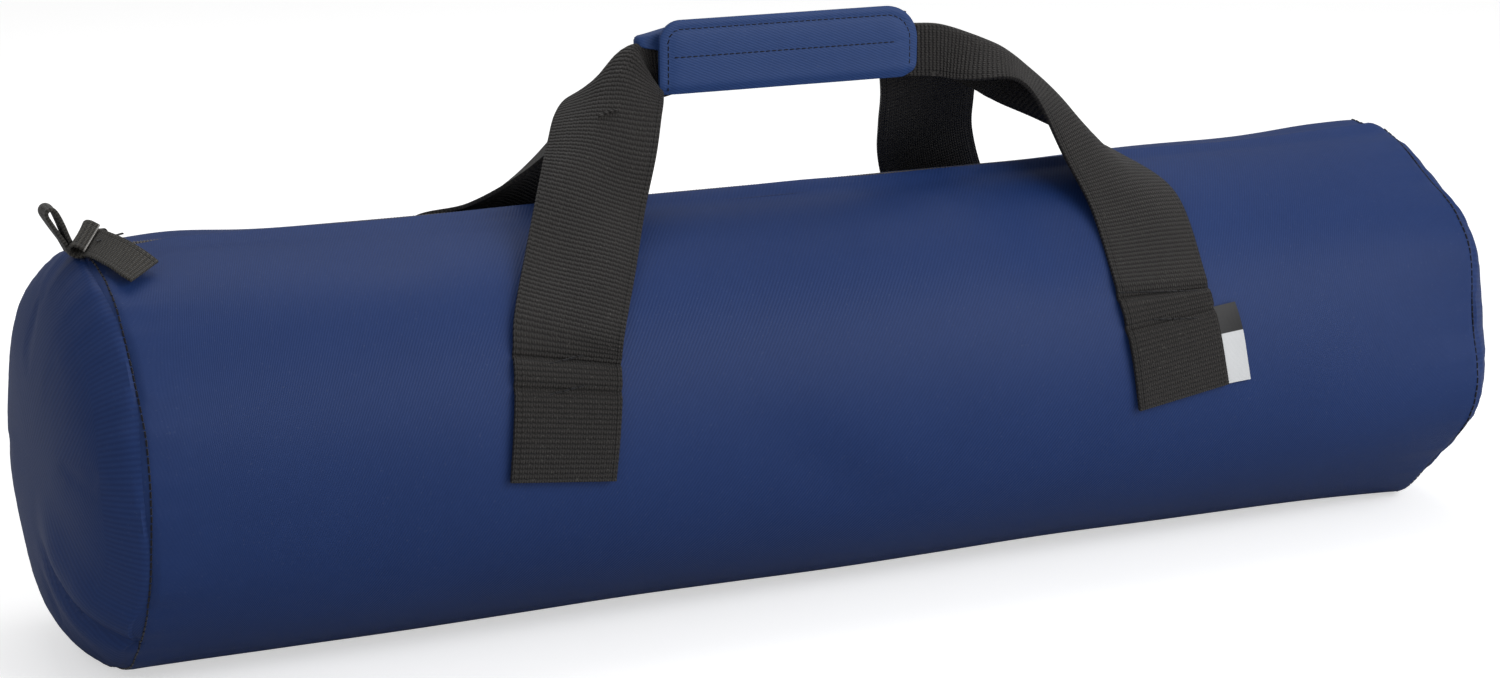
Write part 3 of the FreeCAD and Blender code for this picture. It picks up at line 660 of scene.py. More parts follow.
def fillShell(bag):
    co = points(bag)
    half = shell["half"]
    radial = radiusOf(co)
    tube = np.abs(co[:, 0]) <= half + 1e-6
    ring = (np.abs(np.abs(co[:, 0]) - half) < 1e-5) & (radial > shell["radius"] - 1e-5)
    slotEdge = tube & (np.abs(co[:, 1]) < shell["slot"]) & (co[:, 2] > axisZ)
    pinned = (ring | slotEdge).astype(float)
    toSeam = np.where(tube, half - np.abs(co[:, 0]), shell["radius"] - radial)
    patchy = 0.5 + 0.9 * unevenness(co, 22, 3.1)
    loose = np.clip(np.exp(-toSeam / 0.03) * patchy, 0, 1) + 0.12
    inflate(bag, pinned, np.clip(loose, 0, 1), shell["pressure"], shell["frames"],
            shell["cap"], -0.09)


def settleShell(bag):
    # what the sewing and its own weight do to the filled shell
    co = points(bag)
    half = shell["half"]
    x, y, z = co[:, 0], co[:, 1], co[:, 2] - axisZ
    radial = radiusOf(co)
    turn = np.degrees(turnOf(co))
    tube = np.abs(x) <= half + 1e-6
    # the top line rises near the ends and sinks between, but not at the slot
    top = bump(turn, -14, 34) * smoothstep(0.008, 0.02, np.abs(y))
    grow = top * sum(height * bump(x, middle, wide) for height, middle, wide in topLine)
    # the right end's rise keeps to the back, which leaves room for the pull in front of the zip
    grow += 0.0042 * bump(x, 0.322, 0.045) * top * smoothstep(6, -10, turn)
    # the cloth is folded under beside the zip, and its two lips stand up a little
    closed = 0.0027 + 0.0004 * np.sin(x * 41 + 0.6) - 0.0010 * bump(x, 0.045, 0.03)
    closed -= 0.0014 * bump(x, -0.318, 0.010)
    lips = bump(np.abs(y), 0.0062, 0.0042) * (z > 0) * smoothstep(half, half - 0.01, np.abs(x))
    grow += np.where(y < 0, closed, -0.0006) * lips
    grow -= 0.0008 * bump(y, 0.022, 0.012) * (z > 0) * tube
    # soft dents and swells all over
    grow += 0.0011 * unevenness(co, 9, 0.4) * smoothstep(0, 0.02, np.abs(y))
    for depth, at, around, slant, middle, wide in dents:
        grow -= depth * bump(turn, at, around) * bump(x - slant * turn, middle, wide) * tube
    # the ends are stitched in short straight runs, so the seam line is not quite round
    nearRight = np.exp(-np.abs(np.abs(x) - half) / 0.05) * (x > 0)
    nearLeft = np.exp(-np.abs(np.abs(x) - half) / 0.04) * (x < 0)
    share = np.clip(radial / shell["radius"], 0, 1) ** 2
    corners = np.cos(np.radians(turn) * 7 - 0.6) + 0.35 * np.cos(np.radians(turn) * 3 + 0.4)
    corners -= 0.75 * bump(turn, 9, 12)
    grow += (0.0030 * nearRight * corners + 0.0006 * nearRight) * share
    grow += 0.0007 * nearLeft * np.cos(np.radians(turn) * 9 + 1.2) * share
    scale = (radial + grow * share) / np.maximum(radial, 1e-6)
    co[:, 1] = y * scale
    z = z * scale
    # it stands on a narrow flat strip
    co[:, 2] = np.maximum(z + axisZ, shell["ground"])
    place(bag, co)


def sewSeams(bag):
    # a narrow valley where each end is sewn on, with small puckers across it
    co = points(bag)
    half = shell["half"]
    x = co[:, 0]
    radial = radiusOf(co)
    turn = turnOf(co)
    tube = np.abs(x) <= half + 1e-6
    toSeam = np.abs(np.where(tube, half - np.abs(x), shell["radius"] - radial))
    pucker = np.array([noise.noise(Vector((math.cos(t) * 9, math.sin(t) * 9, s * 4)))
                       + 0.6 * noise.noise(Vector((math.cos(t) * 26, math.sin(t) * 26, s * 4)))
                       for t, s in zip(turn, np.sign(x))])
    sunk = 0.0018 * np.exp(-(toSeam / 0.0015) ** 2)
    rumple = 0.0015 * pucker * np.exp(-toSeam / 0.012) * (1 - np.exp(-toSeam / 0.003))
    scale = (radial - sunk + rumple) / np.maximum(radial, 1e-6)
    co[:, 1] *= scale
    co[:, 2] = np.maximum((co[:, 2] - axisZ) * scale + axisZ, shell["ground"])
    co[:, 0] += np.sign(x) * rumple * 0.5 * ~tube
    co[:, 0] += 0.0016 * np.exp(-toSeam / 0.02) * np.cos(turn * 6 + 1)
    place(bag, co)


def creaseLeftEnd(bag):
    # a fold that runs down the left end to the bottom front of its seam
    co = points(bag)
    start = np.array([-0.004, 0.060])
    way = np.array([-0.078, 0.022]) - start
    length = np.linalg.norm(way)
    way = way / length
    flat = co[:, 1:3] - start
    along = flat @ way
    side = flat @ np.array([-way[1], way[0]])
    inside = (co[:, 0] < -shell["half"] + 0.001)
    depth = (bump(side, 0, 0.0035) * 0.0034 - bump(side, 0.009, 0.007) * 0.0022
             - bump(side, -0.014, 0.012) * 0.0036)
    depth = depth * smoothstep(-0.01, 0.03, along)
    depth = depth * smoothstep(length + 0.012, length - 0.01, along)
    co[:, 0] += np.where(inside, depth, 0)
    place(bag, co)


bag = cutShell()
fillShell(bag)
settleShell(bag)
sewSeams(bag)
creaseLeftEnd(bag)
print("the shell is filled and sewn:", len(bag.data.polygons), "faces")

skinTree = treeOf(bag)


def onSkin(x, turn, above=0.0):
    # the point on the bag at that angle from its top, in degrees, positive to the front
    out = outwards(turn)
    centre = Vector((x, 0, axisZ))
    hit = skinTree.ray_cast(centre + out * 0.2, -out)[0]
    radius = (hit - centre).length if hit else 0.095
    return centre + out * (radius + above)


def panelsFrom(bag):
    # the shell taken apart into the three panels, each with its thickness
    for index, name, node in ((0, "bodyPanel", "body_panel"), (1, "leftEndPanel", "end_panel_left"),
                              (2, "rightEndPanel", "end_panel_right")):
        part = copyOf(bag, name)
        cutAway(part, lambda f: f.material_index != index)
        applyModifier(part, "SOLIDIFY", thickness=shell["thick"], offset=-1, use_rim=True)
        finish(part, bagCloth, 40)
        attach(part, "bag")
        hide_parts(node)


def shrink(part, depth, isTube):
    co = points(part)
    radial = radiusOf(co)
    share = (radial - depth * (1 if isTube else radial / shell["radius"])) / np.maximum(
        radial, 1e-6)
    co[:, 1] *= share
    co[:, 2] = (co[:, 2] - axisZ) * share + axisZ
    if isTube:
        co[:, 0] *= 0.978
    else:
        co[:, 0] -= np.sign(co[:, 0]) * depth
    place(part, co)


def layersFrom(bag):
    # foam and lining, the same shape further in, and kept clear of the zip
    underZip = 0.0163
    for label, depth, thick, material, slot in (
            ("Foam", 0.0018, 0.0056, foamSheet, "padding"),
            ("Lining", 0.0078, 0.0009, liningCloth, "lining")):
        for index, name, node in ((0, "body", "body_%s"), (1, "leftEnd", "end_%s_left"),
                                  (2, "rightEnd", "end_%s_right")):
            part = copyOf(bag, name + label)
            cutAway(part, lambda f: f.material_index != index or (
                index == 0 and abs(f.calc_center_median().y) < underZip
                and f.calc_center_median().z > axisZ))
            shrink(part, depth, index == 0)
            if index == 0:
                applyModifier(part, "DECIMATE", decimate_type="COLLAPSE", ratio=0.35)
            applyModifier(part, "SOLIDIFY", thickness=thick, offset=-1, use_rim=True)
            finish(part, material, 40)
            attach(part, "bag")
            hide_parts(node % label.lower())


panelsFrom(bag)
layersFrom(bag)
bpy.data.objects.remove(bag)
print("panels, foam and lining are in")


# the two carrying straps: each one length of webbing, sewn on, free, then folded in the grip

strap = {"width": 0.050, "thick": 0.0018, "across": 19, "steps": 300, "gap": 0.0012,
         "sunk": 0.0017, "wave": 0.0012}
stitch = {"length": 0.0027, "thick": 0.0009, "pitch": 0.0036, "rows": (63, 71), "seamTurn": 2.2}


def curveThrough(knots, count):
    # an even walk along a smooth curve through the knots; each knot may carry more numbers
    knots = np.array(knots, float)
    ends = np.vstack([2 * knots[0] - knots[1], knots, 2 * knots[-1] - knots[-2]])
    walk = []
    for i in range(1, len(ends) - 2):
        a, b, c, d = ends[i - 1:i + 3]
        for t in np.linspace(0, 1, 24, endpoint=False):
            walk.append(0.5 * (2 * b + (c - a) * t + (2 * a - 5 * b + 4 * c - d) * t * t
                               + (3 * b - a - 3 * c + d) * t ** 3))
    walk.append(knots[-1])
    walk = np.array(walk)
    run = runOf(walk[:, :3])
    even = np.linspace(0, run[-1], count)
    return np.column_stack([np.interp(even, run, column) for column in walk.T]), run[-1]


def gridPiece(name, columns, rows, co, uv):
    # a sheet of quads whose point [i][j] goes to co[i][j] and is cut from uv[i][j]
    pick(None)
    bpy.ops.mesh.primitive_grid_add(x_subdivisions=columns - 1, y_subdivisions=rows - 1, size=2)
    piece = named(name)
    flat = points(piece)
    i = np.rint((flat[:, 0] + 1) / 2 * (columns - 1)).astype(int)
    j = np.rint((flat[:, 1] + 1) / 2 * (rows - 1)).astype(int)
    place(piece, co[i, j])
    layer = freshUv(piece)
    for loop in piece.data.loops:
        layer.data[loop.index].uv = uv[i[loop.vertex_index], j[loop.vertex_index]]
    return piece


def thicken(piece, thick, bevel):
    applyModifier(piece, "SOLIDIFY", thickness=thick, offset=0, use_rim=True)
    applyModifier(piece, "BEVEL", width=bevel, segments=2, limit_method="ANGLE",
                  angle_limit=math.radians(50))


def webbingPiece(name, spine, side, out, fold, sizes, rows, hinge, sunk=None, wave=None):
    # spine, side and out are the middle line, the way across and the way outwards at each step
    width, thick = sizes["width"], sizes["thick"]
    columns = len(spine)
    share = np.linspace(-1, 1, rows)
    over = np.sign(share) * np.abs(share) ** 1.5 * width / 2
    run = runOf(spine)
    co = np.zeros((columns, rows, 3))
    uv = np.zeros((columns, rows, 2))
    fine = np.linspace(0, width / 2, 120)
    for i in range(columns):
        angle = fold[i] * smoothstep(0, 1, fine / hinge[i])
        step = fine[1]
        acrossRun = np.concatenate([[0], np.cumsum(np.cos(angle[1:]) * step)])
        downRun = np.concatenate([[0], np.cumsum(np.sin(angle[1:]) * step)])
        a = np.interp(np.abs(over), fine, acrossRun) * np.sign(over)
        d = np.interp(np.abs(over), fine, downRun)
        if sunk is not None:
            d = d + sunk[i]
        if wave is not None:
            d = d + wave[i] * np.sin(over / width * 2 * math.pi)
        co[i] = spine[i] + np.outer(a, side[i]) - np.outer(d, out[i])
        uv[i, :, 0] = run[i]
        uv[i, :, 1] = over
    piece = gridPiece(name, columns, rows, co, uv)
    thicken(piece, thick, thick * 0.28)
    return piece


# the knots of each handle, in mm from the tube's axis. A foot has x and the turn from the top in
# degrees; a leg has its place, then how it leans and how far it is folded, in degrees, or else
# the ways its inner and outer halves point; inside the grip there is only x and height
frontHandle = {
    "leftFoot": ((-155.5, 95), (-153.5, 84), (-150.5, 72), (-148, 62)),
    "leftLeg": ((-144, -78, 58, -48, 0), (-130, -58, 81, -45, 0), (-115.5, -38, 106, -48, 2),
                (-105, -25, 125, (0.90, -0.35, -0.24), (-0.92, 0.30, 0.06)),
                (-97.5, -15, 141, (0.95, -0.24, -0.2), (-0.88, 0.42, -0.22)),
                (-90.5, -7, 155, (0.80, -0.2, -0.55), (-0.60, 0.52, -0.60)),
                (-81, -2, 165, (0.35, -0.12, -0.93), (-0.05, 0.25, -0.96))),
    "middle": ((-66, 165.5), (-50, 168), (0, 171), (50, 169), (64, 166.5)),
    "rightLeg": ((80, -2, 165, (-0.05, -0.12, -0.99), (-0.05, 0.12, -0.99)),
                 (97, -2, 159.5, (-0.30, -0.38, -0.88), (-0.30, 0.14, -0.94)),
                 (113, -3, 152, (-0.33, -0.72, -0.60), (-0.42, 0.10, -0.90)),
                 (127, -6, 141, 20, 46), (140.5, -15, 127, 18, 34), (153, -32, 106, 9, 20),
                 (160, -56, 83, -28, 7)),
    "rightFoot": ((158, 60), (159, 68), (161, 79), (165, 94)),
}
backHandle = {
    "leftFoot": ((-155.5, 95), (-152.5, 84), (-147, 72), (-140, 62)),
    "leftLeg": ((-129, -78, 58, -48, 0), (-112, -61, 79, -45, 0), (-99, -45, 100, -48, 0),
                (-91, -30, 118, -50, 2), (-85.5, -18, 136, -46, 6),
                (-80, -9, 152, (0.90, -0.2, -0.38), (-0.65, 0.5, -0.57)),
                (-73, -2, 163, (0.40, -0.14, -0.90), (-0.1, 0.25, -0.96))),
    "middle": ((-60, 167), (-40, 170), (0, 171), (40, 170), (62, 166)),
    "rightLeg": ((76, -2, 163, (-0.05, -0.14, -0.98), (-0.05, 0.14, -0.98)),
                 (87, -3, 155, (-0.40, -0.40, -0.82), (-0.20, 0.35, -0.91)),
                 (97, -5, 144, -20, 56), (107, -9, 130, -24, 42), (119, -18, 113, -20, 32),
                 (131, -37, 94, -26, 20), (146, -62, 74, -50, 0)),
    "rightFoot": ((154, 60), (155, 68), (157, 79), (160, 94)),
}


def halves(before, after, lean, folded):
    # the ways the inner and outer halves point at a knot that leans and is folded evenly
    heading = unit(after - before)
    lean, folded = math.radians(lean), math.radians(folded)
    across = unit(np.cross(heading, np.array([0, math.sin(lean), math.cos(lean)])))
    down = math.sin(folded) * np.cross(across, heading)
    return math.cos(folded) * across - down, -math.cos(folded) * across - down


def strapSpine(handle, turned):
    # turned: the back handle is laid out like the front one and then turned half round
    sign = -1 if turned else 1

    def foot(pairs):
        found = []
        for x, turn in pairs:
            spot = onSkin(sign * x * mm, sign * turn, strap["gap"] + strap["thick"] / 2)
            found.append(((sign * spot.x, sign * spot.y, spot.z - axisZ), -turn, 0))
        return found

    def leg(knots):
        return [((k[0] * mm, k[1] * mm, k[2] * mm), k[3], k[4]) for k in knots]

    closed = ((0, -0.06, -1), (0, 0.06, -1))
    knots = foot(handle["leftFoot"]) + leg(handle["leftLeg"])
    knots += leg([(x, -2.0, z) + closed for x, z in handle["middle"]])
    knots += leg(handle["rightLeg"]) + foot(handle["rightFoot"])
    spots = np.array([k[0] for k in knots])
    full = []
    for index, (spot, first, second) in enumerate(knots):
        if np.ndim(first):
            ways = unit(np.array(first, float)), unit(np.array(second, float))
        else:
            ways = halves(spots[max(index - 1, 0)], spots[min(index + 1, len(knots) - 1)],
                          first, second)
        full.append(np.concatenate([spot, ways[0], ways[1]]))
    walk, length = curveThrough(full, strap["steps"])
    spine = walk[:, :3]
    first, second = unit(walk[:, 3:6]), unit(walk[:, 6:9])
    heading = unit(np.gradient(spine, axis=0))
    across = unit(first - second)
    fold = np.arccos(np.clip(np.linalg.norm(first - second, axis=1) / 2, 0, 1))
    out = unit(-(first + second) + 0.1 * np.cross(across, heading))
    out = unit(out - across * np.sum(out * across, axis=1, keepdims=True))
    return spine, across, out, np.clip(fold, 0, math.radians(88)), length


def makeStrap(name, handle, turned, nodes):
    spine, across, out, fold, length = strapSpine(handle, turned)
    run = np.linspace(0, length, len(spine))
    tight = smoothstep(math.radians(60), math.radians(86), fold)
    hinge = 0.009 - 0.0072 * tight
    # pressed down where the two rows of stitches hold each end
    turn = np.degrees(np.arctan2(-spine[:, 1], spine[:, 2]))
    low = np.abs(spine[:, 2]) < 0.06
    sunk = strap["sunk"] * sum(bump(turn, row, 1.0) for row in stitch["rows"]) * low
    wave = strap["wave"] * np.sin(run / length * 31) * (1 - tight)
    wave = wave * smoothstep(0.5, 0.9, spine[:, 2] / 0.1)
    piece = webbingPiece(name, spine, across, out, fold, strap, strap["across"], hinge, sunk, wave)
    co = points(piece)
    if turned:
        co[:, :2] *= -1
    co[:, 2] += axisZ
    place(piece, co)
    finish(piece, strapWebbing)
    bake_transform(piece)
    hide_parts(*nodes)
    return length


frontLength = makeStrap("frontStrap", frontHandle, False, (
    "front_handle_strap", "front_strap_left_end", "front_strap_right_end"))
backLength = makeStrap("backStrap", backHandle, True, (
    "back_handle_strap", "back_strap_left_end", "back_strap_right_end"))
print("straps are sewn on: %.3f m and %.3f m" % (frontLength, backLength))


# the rows of stitches that hold the strap ends

def oneStitch(name):
    pick(None)
    bpy.ops.mesh.primitive_cylinder_add(vertices=6, radius=stitch["thick"] / 2,
                                        depth=stitch["length"], rotation=(0, math.pi / 2, 0))
    piece = named(name)
    edit(piece)
    selectWhere(piece, "FACE", lambda f: len(f.verts) == 6)
    bpy.ops.mesh.inset(thickness=stitch["thick"] * 0.18)
    bpy.ops.transform.resize(value=(1.12, 0.8, 0.8))
    leave()
    return piece


def alignedCopy(model, spot, along, out):
    # a copy of the model with its own mesh, its x along and its z out, moved to the spot
    twin = copyOf(model, "bit")
    x = along.normalized()
    y = out.cross(x).normalized()
    place(twin, points(twin) @ np.array([x, y, x.cross(y)]) + np.array(spot))
    return twin


def strapStitches():
    model = oneStitch("stitchModel")
    bits = []
    lift = strap["gap"] + strap["thick"] - 0.0006
    border = 0.002
    small = 0.001
    count = int((strap["width"] - 2 * border) / stitch["pitch"])
    for sign, foot in ((sign, handle[key]) for handle, sign in ((frontHandle, 1), (backHandle, -1))
                       for key in ("leftFoot", "rightFoot")):
        foot = sorted((turn, x) for x, turn in foot)
        for row in stitch["rows"]:
            middle = np.interp(row, [turn for turn, x in foot], [x for turn, x in foot]) * mm
            lean = math.degrees((0.14 if middle < 0 else -0.08) / 0.095)
            for k in range(count + 1):
                w = -strap["width"] / 2 + border + k * stitch["pitch"]
                turn = row - w * lean
                a = onSkin(sign * (middle + w), sign * turn, lift)
                b = onSkin(sign * (middle + w + small), sign * (turn - small * lean), lift)
                bits.append(alignedCopy(model, a, b - a, outwards(sign * turn)))
    bpy.data.objects.remove(model)
    rows = joined(bits, "strapStitches")
    finish(rows, thread, doubles=False)
    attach(rows, "bag")
    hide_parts("strap_stitches")


def seamStitches():
    # one row round each end, in the valley of its seam
    model = oneStitch("seamStitchModel")
    bits = []
    for side in (-1, 1):
        x = side * (shell["half"] - 0.0012)
        for turn in np.arange(6, 354, stitch["seamTurn"]):
            a = onSkin(x, turn, 0.0001)
            bits.append(alignedCopy(model, a, onSkin(x, turn + 1, 0.0001) - a, outwards(turn)))
    bpy.data.objects.remove(model)
    rows = joined(bits, "seamStitches")
    finish(rows, darkThread, doubles=False)
    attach(rows, "bag")


strapStitches()
seamStitches()
print("strap ends are stitched")


# the zip: rows of teeth over the two tapes, which show between the lips

teeth = {"pitch": 0.0015, "reach": 0.0029, "thick": 0.00095, "top": 0.0948, "half": 0.334}


def zipTeeth():
    for side, name, node in ((-1, "frontTeeth", "zipper_coil_front"),
                             (1, "backTeeth", "zipper_coil_back")):
        pick(None)
        high = axisZ + teeth["top"] - teeth["thick"] / 2
        bpy.ops.mesh.primitive_cylinder_add(
            vertices=6, radius=teeth["thick"] / 2, depth=teeth["reach"],
            location=(-teeth["half"] + (0.4 if side > 0 else 0.9) * teeth["pitch"],
                      side * (teeth["reach"] / 2 + 0.0001), high),
            rotation=(math.pi / 2, 0, 0))
        tooth = named(name)
        edit(tooth)
        # a wider head at the middle, a heel that turns down into the tape
        selectWhere(tooth, "VERT", lambda v: abs(v.co.y) < 0.0006)
        bpy.ops.transform.resize(value=(1.35, 1, 1.1), center_override=(
            tooth.data.vertices[0].co.x, 0, high))
        selectWhere(tooth, "FACE", lambda f: abs(f.calc_center_median().y) > teeth["reach"] - 2e-4)
        bpy.ops.mesh.extrude_region_move(TRANSFORM_OT_translate={
            "value": (0, side * 0.0003, -0.0011)})
        leave()
        count = int(2 * teeth["half"] / teeth["pitch"]) - 1
        applyModifier(tooth, "ARRAY", count=count, use_relative_offset=False,
                      use_constant_offset=True, constant_offset_displace=(teeth["pitch"], 0, 0))
        finish(tooth, coilPlastic, 40, doubles=False)
        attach(tooth, "bag")
        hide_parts(node)


zipTeeth()
print("zip teeth are in")


# the pull: webbing looped round the bail's bar, its short end on top

# knots from the free end to the bar: place in mm, z from the axis, then the way across
pull = {"width": 0.019, "thick": 0.0014, "bevel": 0.00035, "cupped": 0.0006, "steps": 110,
        "rows": 15, "cut": (-336.0, -6.2, 99.0), "cross": (0.56, 0.72, 0.40),
        "lengthways": (0.71, -0.69, 0.16)}
pullLength = ((-322.5, -39.5, 90.4, 0.78, 0.54, 0.26), (-326.5, -34.5, 93.4, 0.70, 0.60, 0.38),
              (-330.0, -27.0, 95.8, 0.62, 0.66, 0.42), (-333.2, -18.8, 97.4, 0.56, 0.70, 0.42),
              (-335.2, -11.8, 98.0, 0.56, 0.71, 0.40))
# the loop round the bar: how far along and how far up from the cut end
pullLoop = ((-1.0, -1.6), (-3.6, -1.8), (-5.6, -1.2), (-6.7, 0.4), (-6.3, 2.3), (-4.8, 3.5),
            (-3.0, 3.0), (-1.5, 1.7), (0.0, 0.3))


def makePull():
    cross = unit(np.array(pull["cross"]))
    along = np.array(pull["lengthways"])
    along = unit(along - cross * (along @ cross))
    up = np.cross(along, cross)
    knots = list(pullLength)
    for a, u in pullLoop:
        knots.append(tuple(np.array(pull["cut"]) + along * a + up * u) + tuple(cross))
    walk, length = curveThrough(np.array(knots) * ([mm] * 3 + [1] * 3), pull["steps"])
    spine = walk[:, :3] + np.array([0, 0, axisZ])
    across = unit(walk[:, 3:])
    out = unit(np.cross(across, unit(np.gradient(spine, axis=0))))
    share = np.linspace(-1, 1, pull["rows"])
    over = share * pull["width"] / 2
    co = np.zeros((pull["steps"], pull["rows"], 3))
    uv = np.zeros((pull["steps"], pull["rows"], 2))
    run = np.linspace(0, length, pull["steps"])
    for i in range(pull["steps"]):
        cupped = pull["cupped"] * share ** 2 * math.sin(run[i] * 90)
        co[i] = spine[i] + np.outer(over, across[i]) + np.outer(cupped, out[i])
        uv[i, :, 0] = run[i]
        uv[i, :, 1] = over
    piece = gridPiece("pullTab", pull["steps"], pull["rows"], co, uv)
    thicken(piece, pull["thick"], pull["bevel"])
    finish(piece, tabWebbing)
    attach(piece, "zip_pull")
    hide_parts("pull_tab")
    print("pull webbing is %.4f m long" % length)


makePull()


# the loop at the zip's end, narrow webbing folded to an eye

endLoop = {"width": 0.012, "thick": 0.0018, "base": (-0.3445, 0, 0.1870), "lean": 27,
           "steps": 90, "rows": 9, "knots": (
               (1.1, -1.5), (1.1, 2), (1.2, 5), (1.5, 8), (2.0, 12), (2.3, 16), (2.2, 18.7),
               (1.6, 20.5), (0, 21.2), (-1.6, 20.5), (-2.2, 18.7), (-2.1, 16), (-1.8, 12),
               (-1.4, 8), (-1.1, 5), (-1.1, 2), (-1.1, -1.5))}


def makeEndLoop():
    steps = endLoop["steps"]
    walk = curveThrough([(x * mm, 0, z * mm) for x, z in endLoop["knots"]], steps)[0]
    lean = math.radians(endLoop["lean"])
    spine = np.array([(x * math.cos(lean) - z * math.sin(lean), 0,
                       x * math.sin(lean) + z * math.cos(lean)) for x, y, z in walk])
    spine = spine + np.array(endLoop["base"])
    across = np.tile([0, 1.0, 0], (steps, 1))
    out = np.cross(across, unit(np.gradient(spine, axis=0)))
    piece = webbingPiece("endLoop", spine, across, out, np.zeros(steps), endLoop, endLoop["rows"],
                         np.full(steps, 0.01), wave=0.0003 * np.sin(np.linspace(0, 9, steps)))
    finish(piece, loopWebbing)
    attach(piece, "end_loop")
    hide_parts("zip_end_loop")


makeEndLoop()
print("pull and end loop are in")


# the tag beside the front right strap end: blank, dark above and white below

tag = {"width": 0.014, "height": 0.038, "thick": 0.0005, "dark": 0.0135, "x": 0.1822,
       "turn": 69.0, "slant": (0.16, 0.10), "columns": 40, "rows": 15}


def labelMaterial():
    material, tree, skin, where = startMaterial("blankTag", 0.45, 0.4, 0.0)
    down = split(tree, where.outputs["UV"])[0]
    weave = useGroup(tree, twillWeave, Vector=where.outputs["UV"], Pitch=0.0007)
    white = mixed(tree, weave["Shade"], (0.62, 0.64, 0.66, 1), (0.8, 0.81, 0.82, 1))
    black = mixed(tree, weave["Shade"], (0.008, 0.008, 0.009, 1), (0.016, 0.016, 0.018, 1))
    tree.links.new(mixed(tree, remap(tree, down, tag["dark"] - 0.0001, tag["dark"] + 0.0001),
                         black, white), skin.inputs["Base Color"])
    addRelief(tree, skin, weave["Height"], 0.00005)
    return material


def makeTag():
    columns, rows = tag["columns"], tag["rows"]
    co = np.zeros((columns, rows, 3))
    uv = np.zeros((columns, rows, 2))
    for i in range(columns):
        down = tag["height"] * i / (columns - 1)
        for j in range(rows):
            share = j / (rows - 1)
            side = tag["width"] * share
            turn = tag["turn"] + math.degrees((down - tag["slant"][1] * side) / 0.0953)
            lift = 0.0004 + 0.0012 * share ** 2 + 0.0005 * math.sin(down * 160) * share
            co[i, j] = onSkin(tag["x"] + tag["slant"][0] * down + side, turn, lift)
            uv[i, j] = (down, side)
    piece = gridPiece("sideTag", columns, rows, co, uv)
    applyModifier(piece, "SOLIDIFY", thickness=tag["thick"], offset=1, use_rim=True)
    finish(piece, labelMaterial(), 40)
    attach(piece, "bag")
    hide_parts("side_label")


makeTag()
print("tag is in")


# the grip: a padded sleeve round the folded straps, and the flap that closes over its front

grip = {"half": 0.065, "centre": 0.2525, "deep": 0.0064, "tall": 0.0137, "around": 56,
        "rings": 64, "square": 0.55, "tongue": 0.0105, "shift": -0.0025}


def addBoxUv(piece):
    layer = freshUv(piece)
    for poly in piece.data.polygons:
        upright = abs(poly.normal.z) > 0.7
        for corner in poly.loop_indices:
            spot = piece.data.vertices[piece.data.loops[corner].vertex_index].co
            layer.data[corner].uv = (spot.x, spot.y + spot.z if upright else spot.z)


def makeSleeve():
    sleeve = openTube("gripSleeve", grip["around"], 1, 2 * grip["half"] - 0.003, grip["rings"],
                      (0, 0, 0))
    edit(sleeve)
    for side in (-1, 1):
        # each end turns in towards the straps
        selectWhere(sleeve, "EDGE", lambda e: e.is_boundary and
                    all(v.co.x * side > grip["half"] - 0.0016 for v in e.verts))
        for out, share in ((0.0010, 0.955), (0.0005, 0.9), (0.0, 0.84), (-0.001, 0.97)):
            bpy.ops.mesh.extrude_region_move(TRANSFORM_OT_translate={
                "value": (side * out, 0, 0)})
            bpy.ops.transform.resize(value=(1, share, share), center_override=(0, 0, 0))
    leave()
    co = points(sleeve)
    angle = np.arctan2(co[:, 2], co[:, 1])
    radius = np.hypot(co[:, 1], co[:, 2])
    y = grip["deep"] * np.sign(np.cos(angle)) * np.abs(np.cos(angle)) ** grip["square"]
    z = grip["tall"] * np.sign(np.sin(angle)) * np.abs(np.sin(angle)) ** grip["square"]
    swell = 0.0007 * np.cos(np.clip(z / grip["tall"], -1, 1) * math.pi / 2) * np.cos(
        np.clip(co[:, 0] / grip["half"], -1, 1) * math.pi / 2) ** 0.3
    rumple = 0.0005 * unevenness(co * np.array([1, 0.01, 0.01]) + np.column_stack(
        [np.zeros(len(co)), y, z]), 55, 7.0)
    co[:, 1] = y * radius + np.where(y > 0, swell + rumple, 0)
    co[:, 2] = z * radius + grip["centre"]
    upper = smoothstep(0, 0.008, co[:, 2] - grip["centre"])
    co[:, 2] -= 0.0050 * upper * smoothstep(0.044, 0.063, co[:, 0])
    # at the left end its top is drawn out over the strap
    drawn = smoothstep(-0.052, -grip["half"], co[:, 0]) * smoothstep(
        grip["centre"] + 0.002, grip["centre"] + 0.010, co[:, 2])
    co[:, 0] -= grip["tongue"] * drawn * (0.6 + 0.4 * np.cos(co[:, 1] / 0.006))
    co[:, 1] *= 1 - 0.25 * drawn
    co[:, 2] -= 0.0040 * drawn
    co[:, 0] += grip["shift"]
    place(sleeve, co)
    addBoxUv(sleeve)
    applyModifier(sleeve, "SOLIDIFY", thickness=0.0006, offset=-1, use_rim=True)
    finish(sleeve, gripCloth)
    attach(sleeve, "carry_handle")
    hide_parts("grip_wrap_cover", "grip_wrap_foam")


flap = {"half": 0.067, "low": 0.2355, "high": 0.2698, "front": -0.0114, "back": -0.0087,
        "border": 0.0042, "quilt": 0.2528, "pitch": 0.0031, "shift": -0.003,
        "upper": (0.0105, 0.0165), "lower": (0.003, 0.0085)}


def flapCorner(x, z):
    # the radius of the corner nearest to a point, left then right
    middle = (flap["low"] + flap["high"]) / 2
    return flap["upper" if z > middle else "lower"][int(x > 0)]


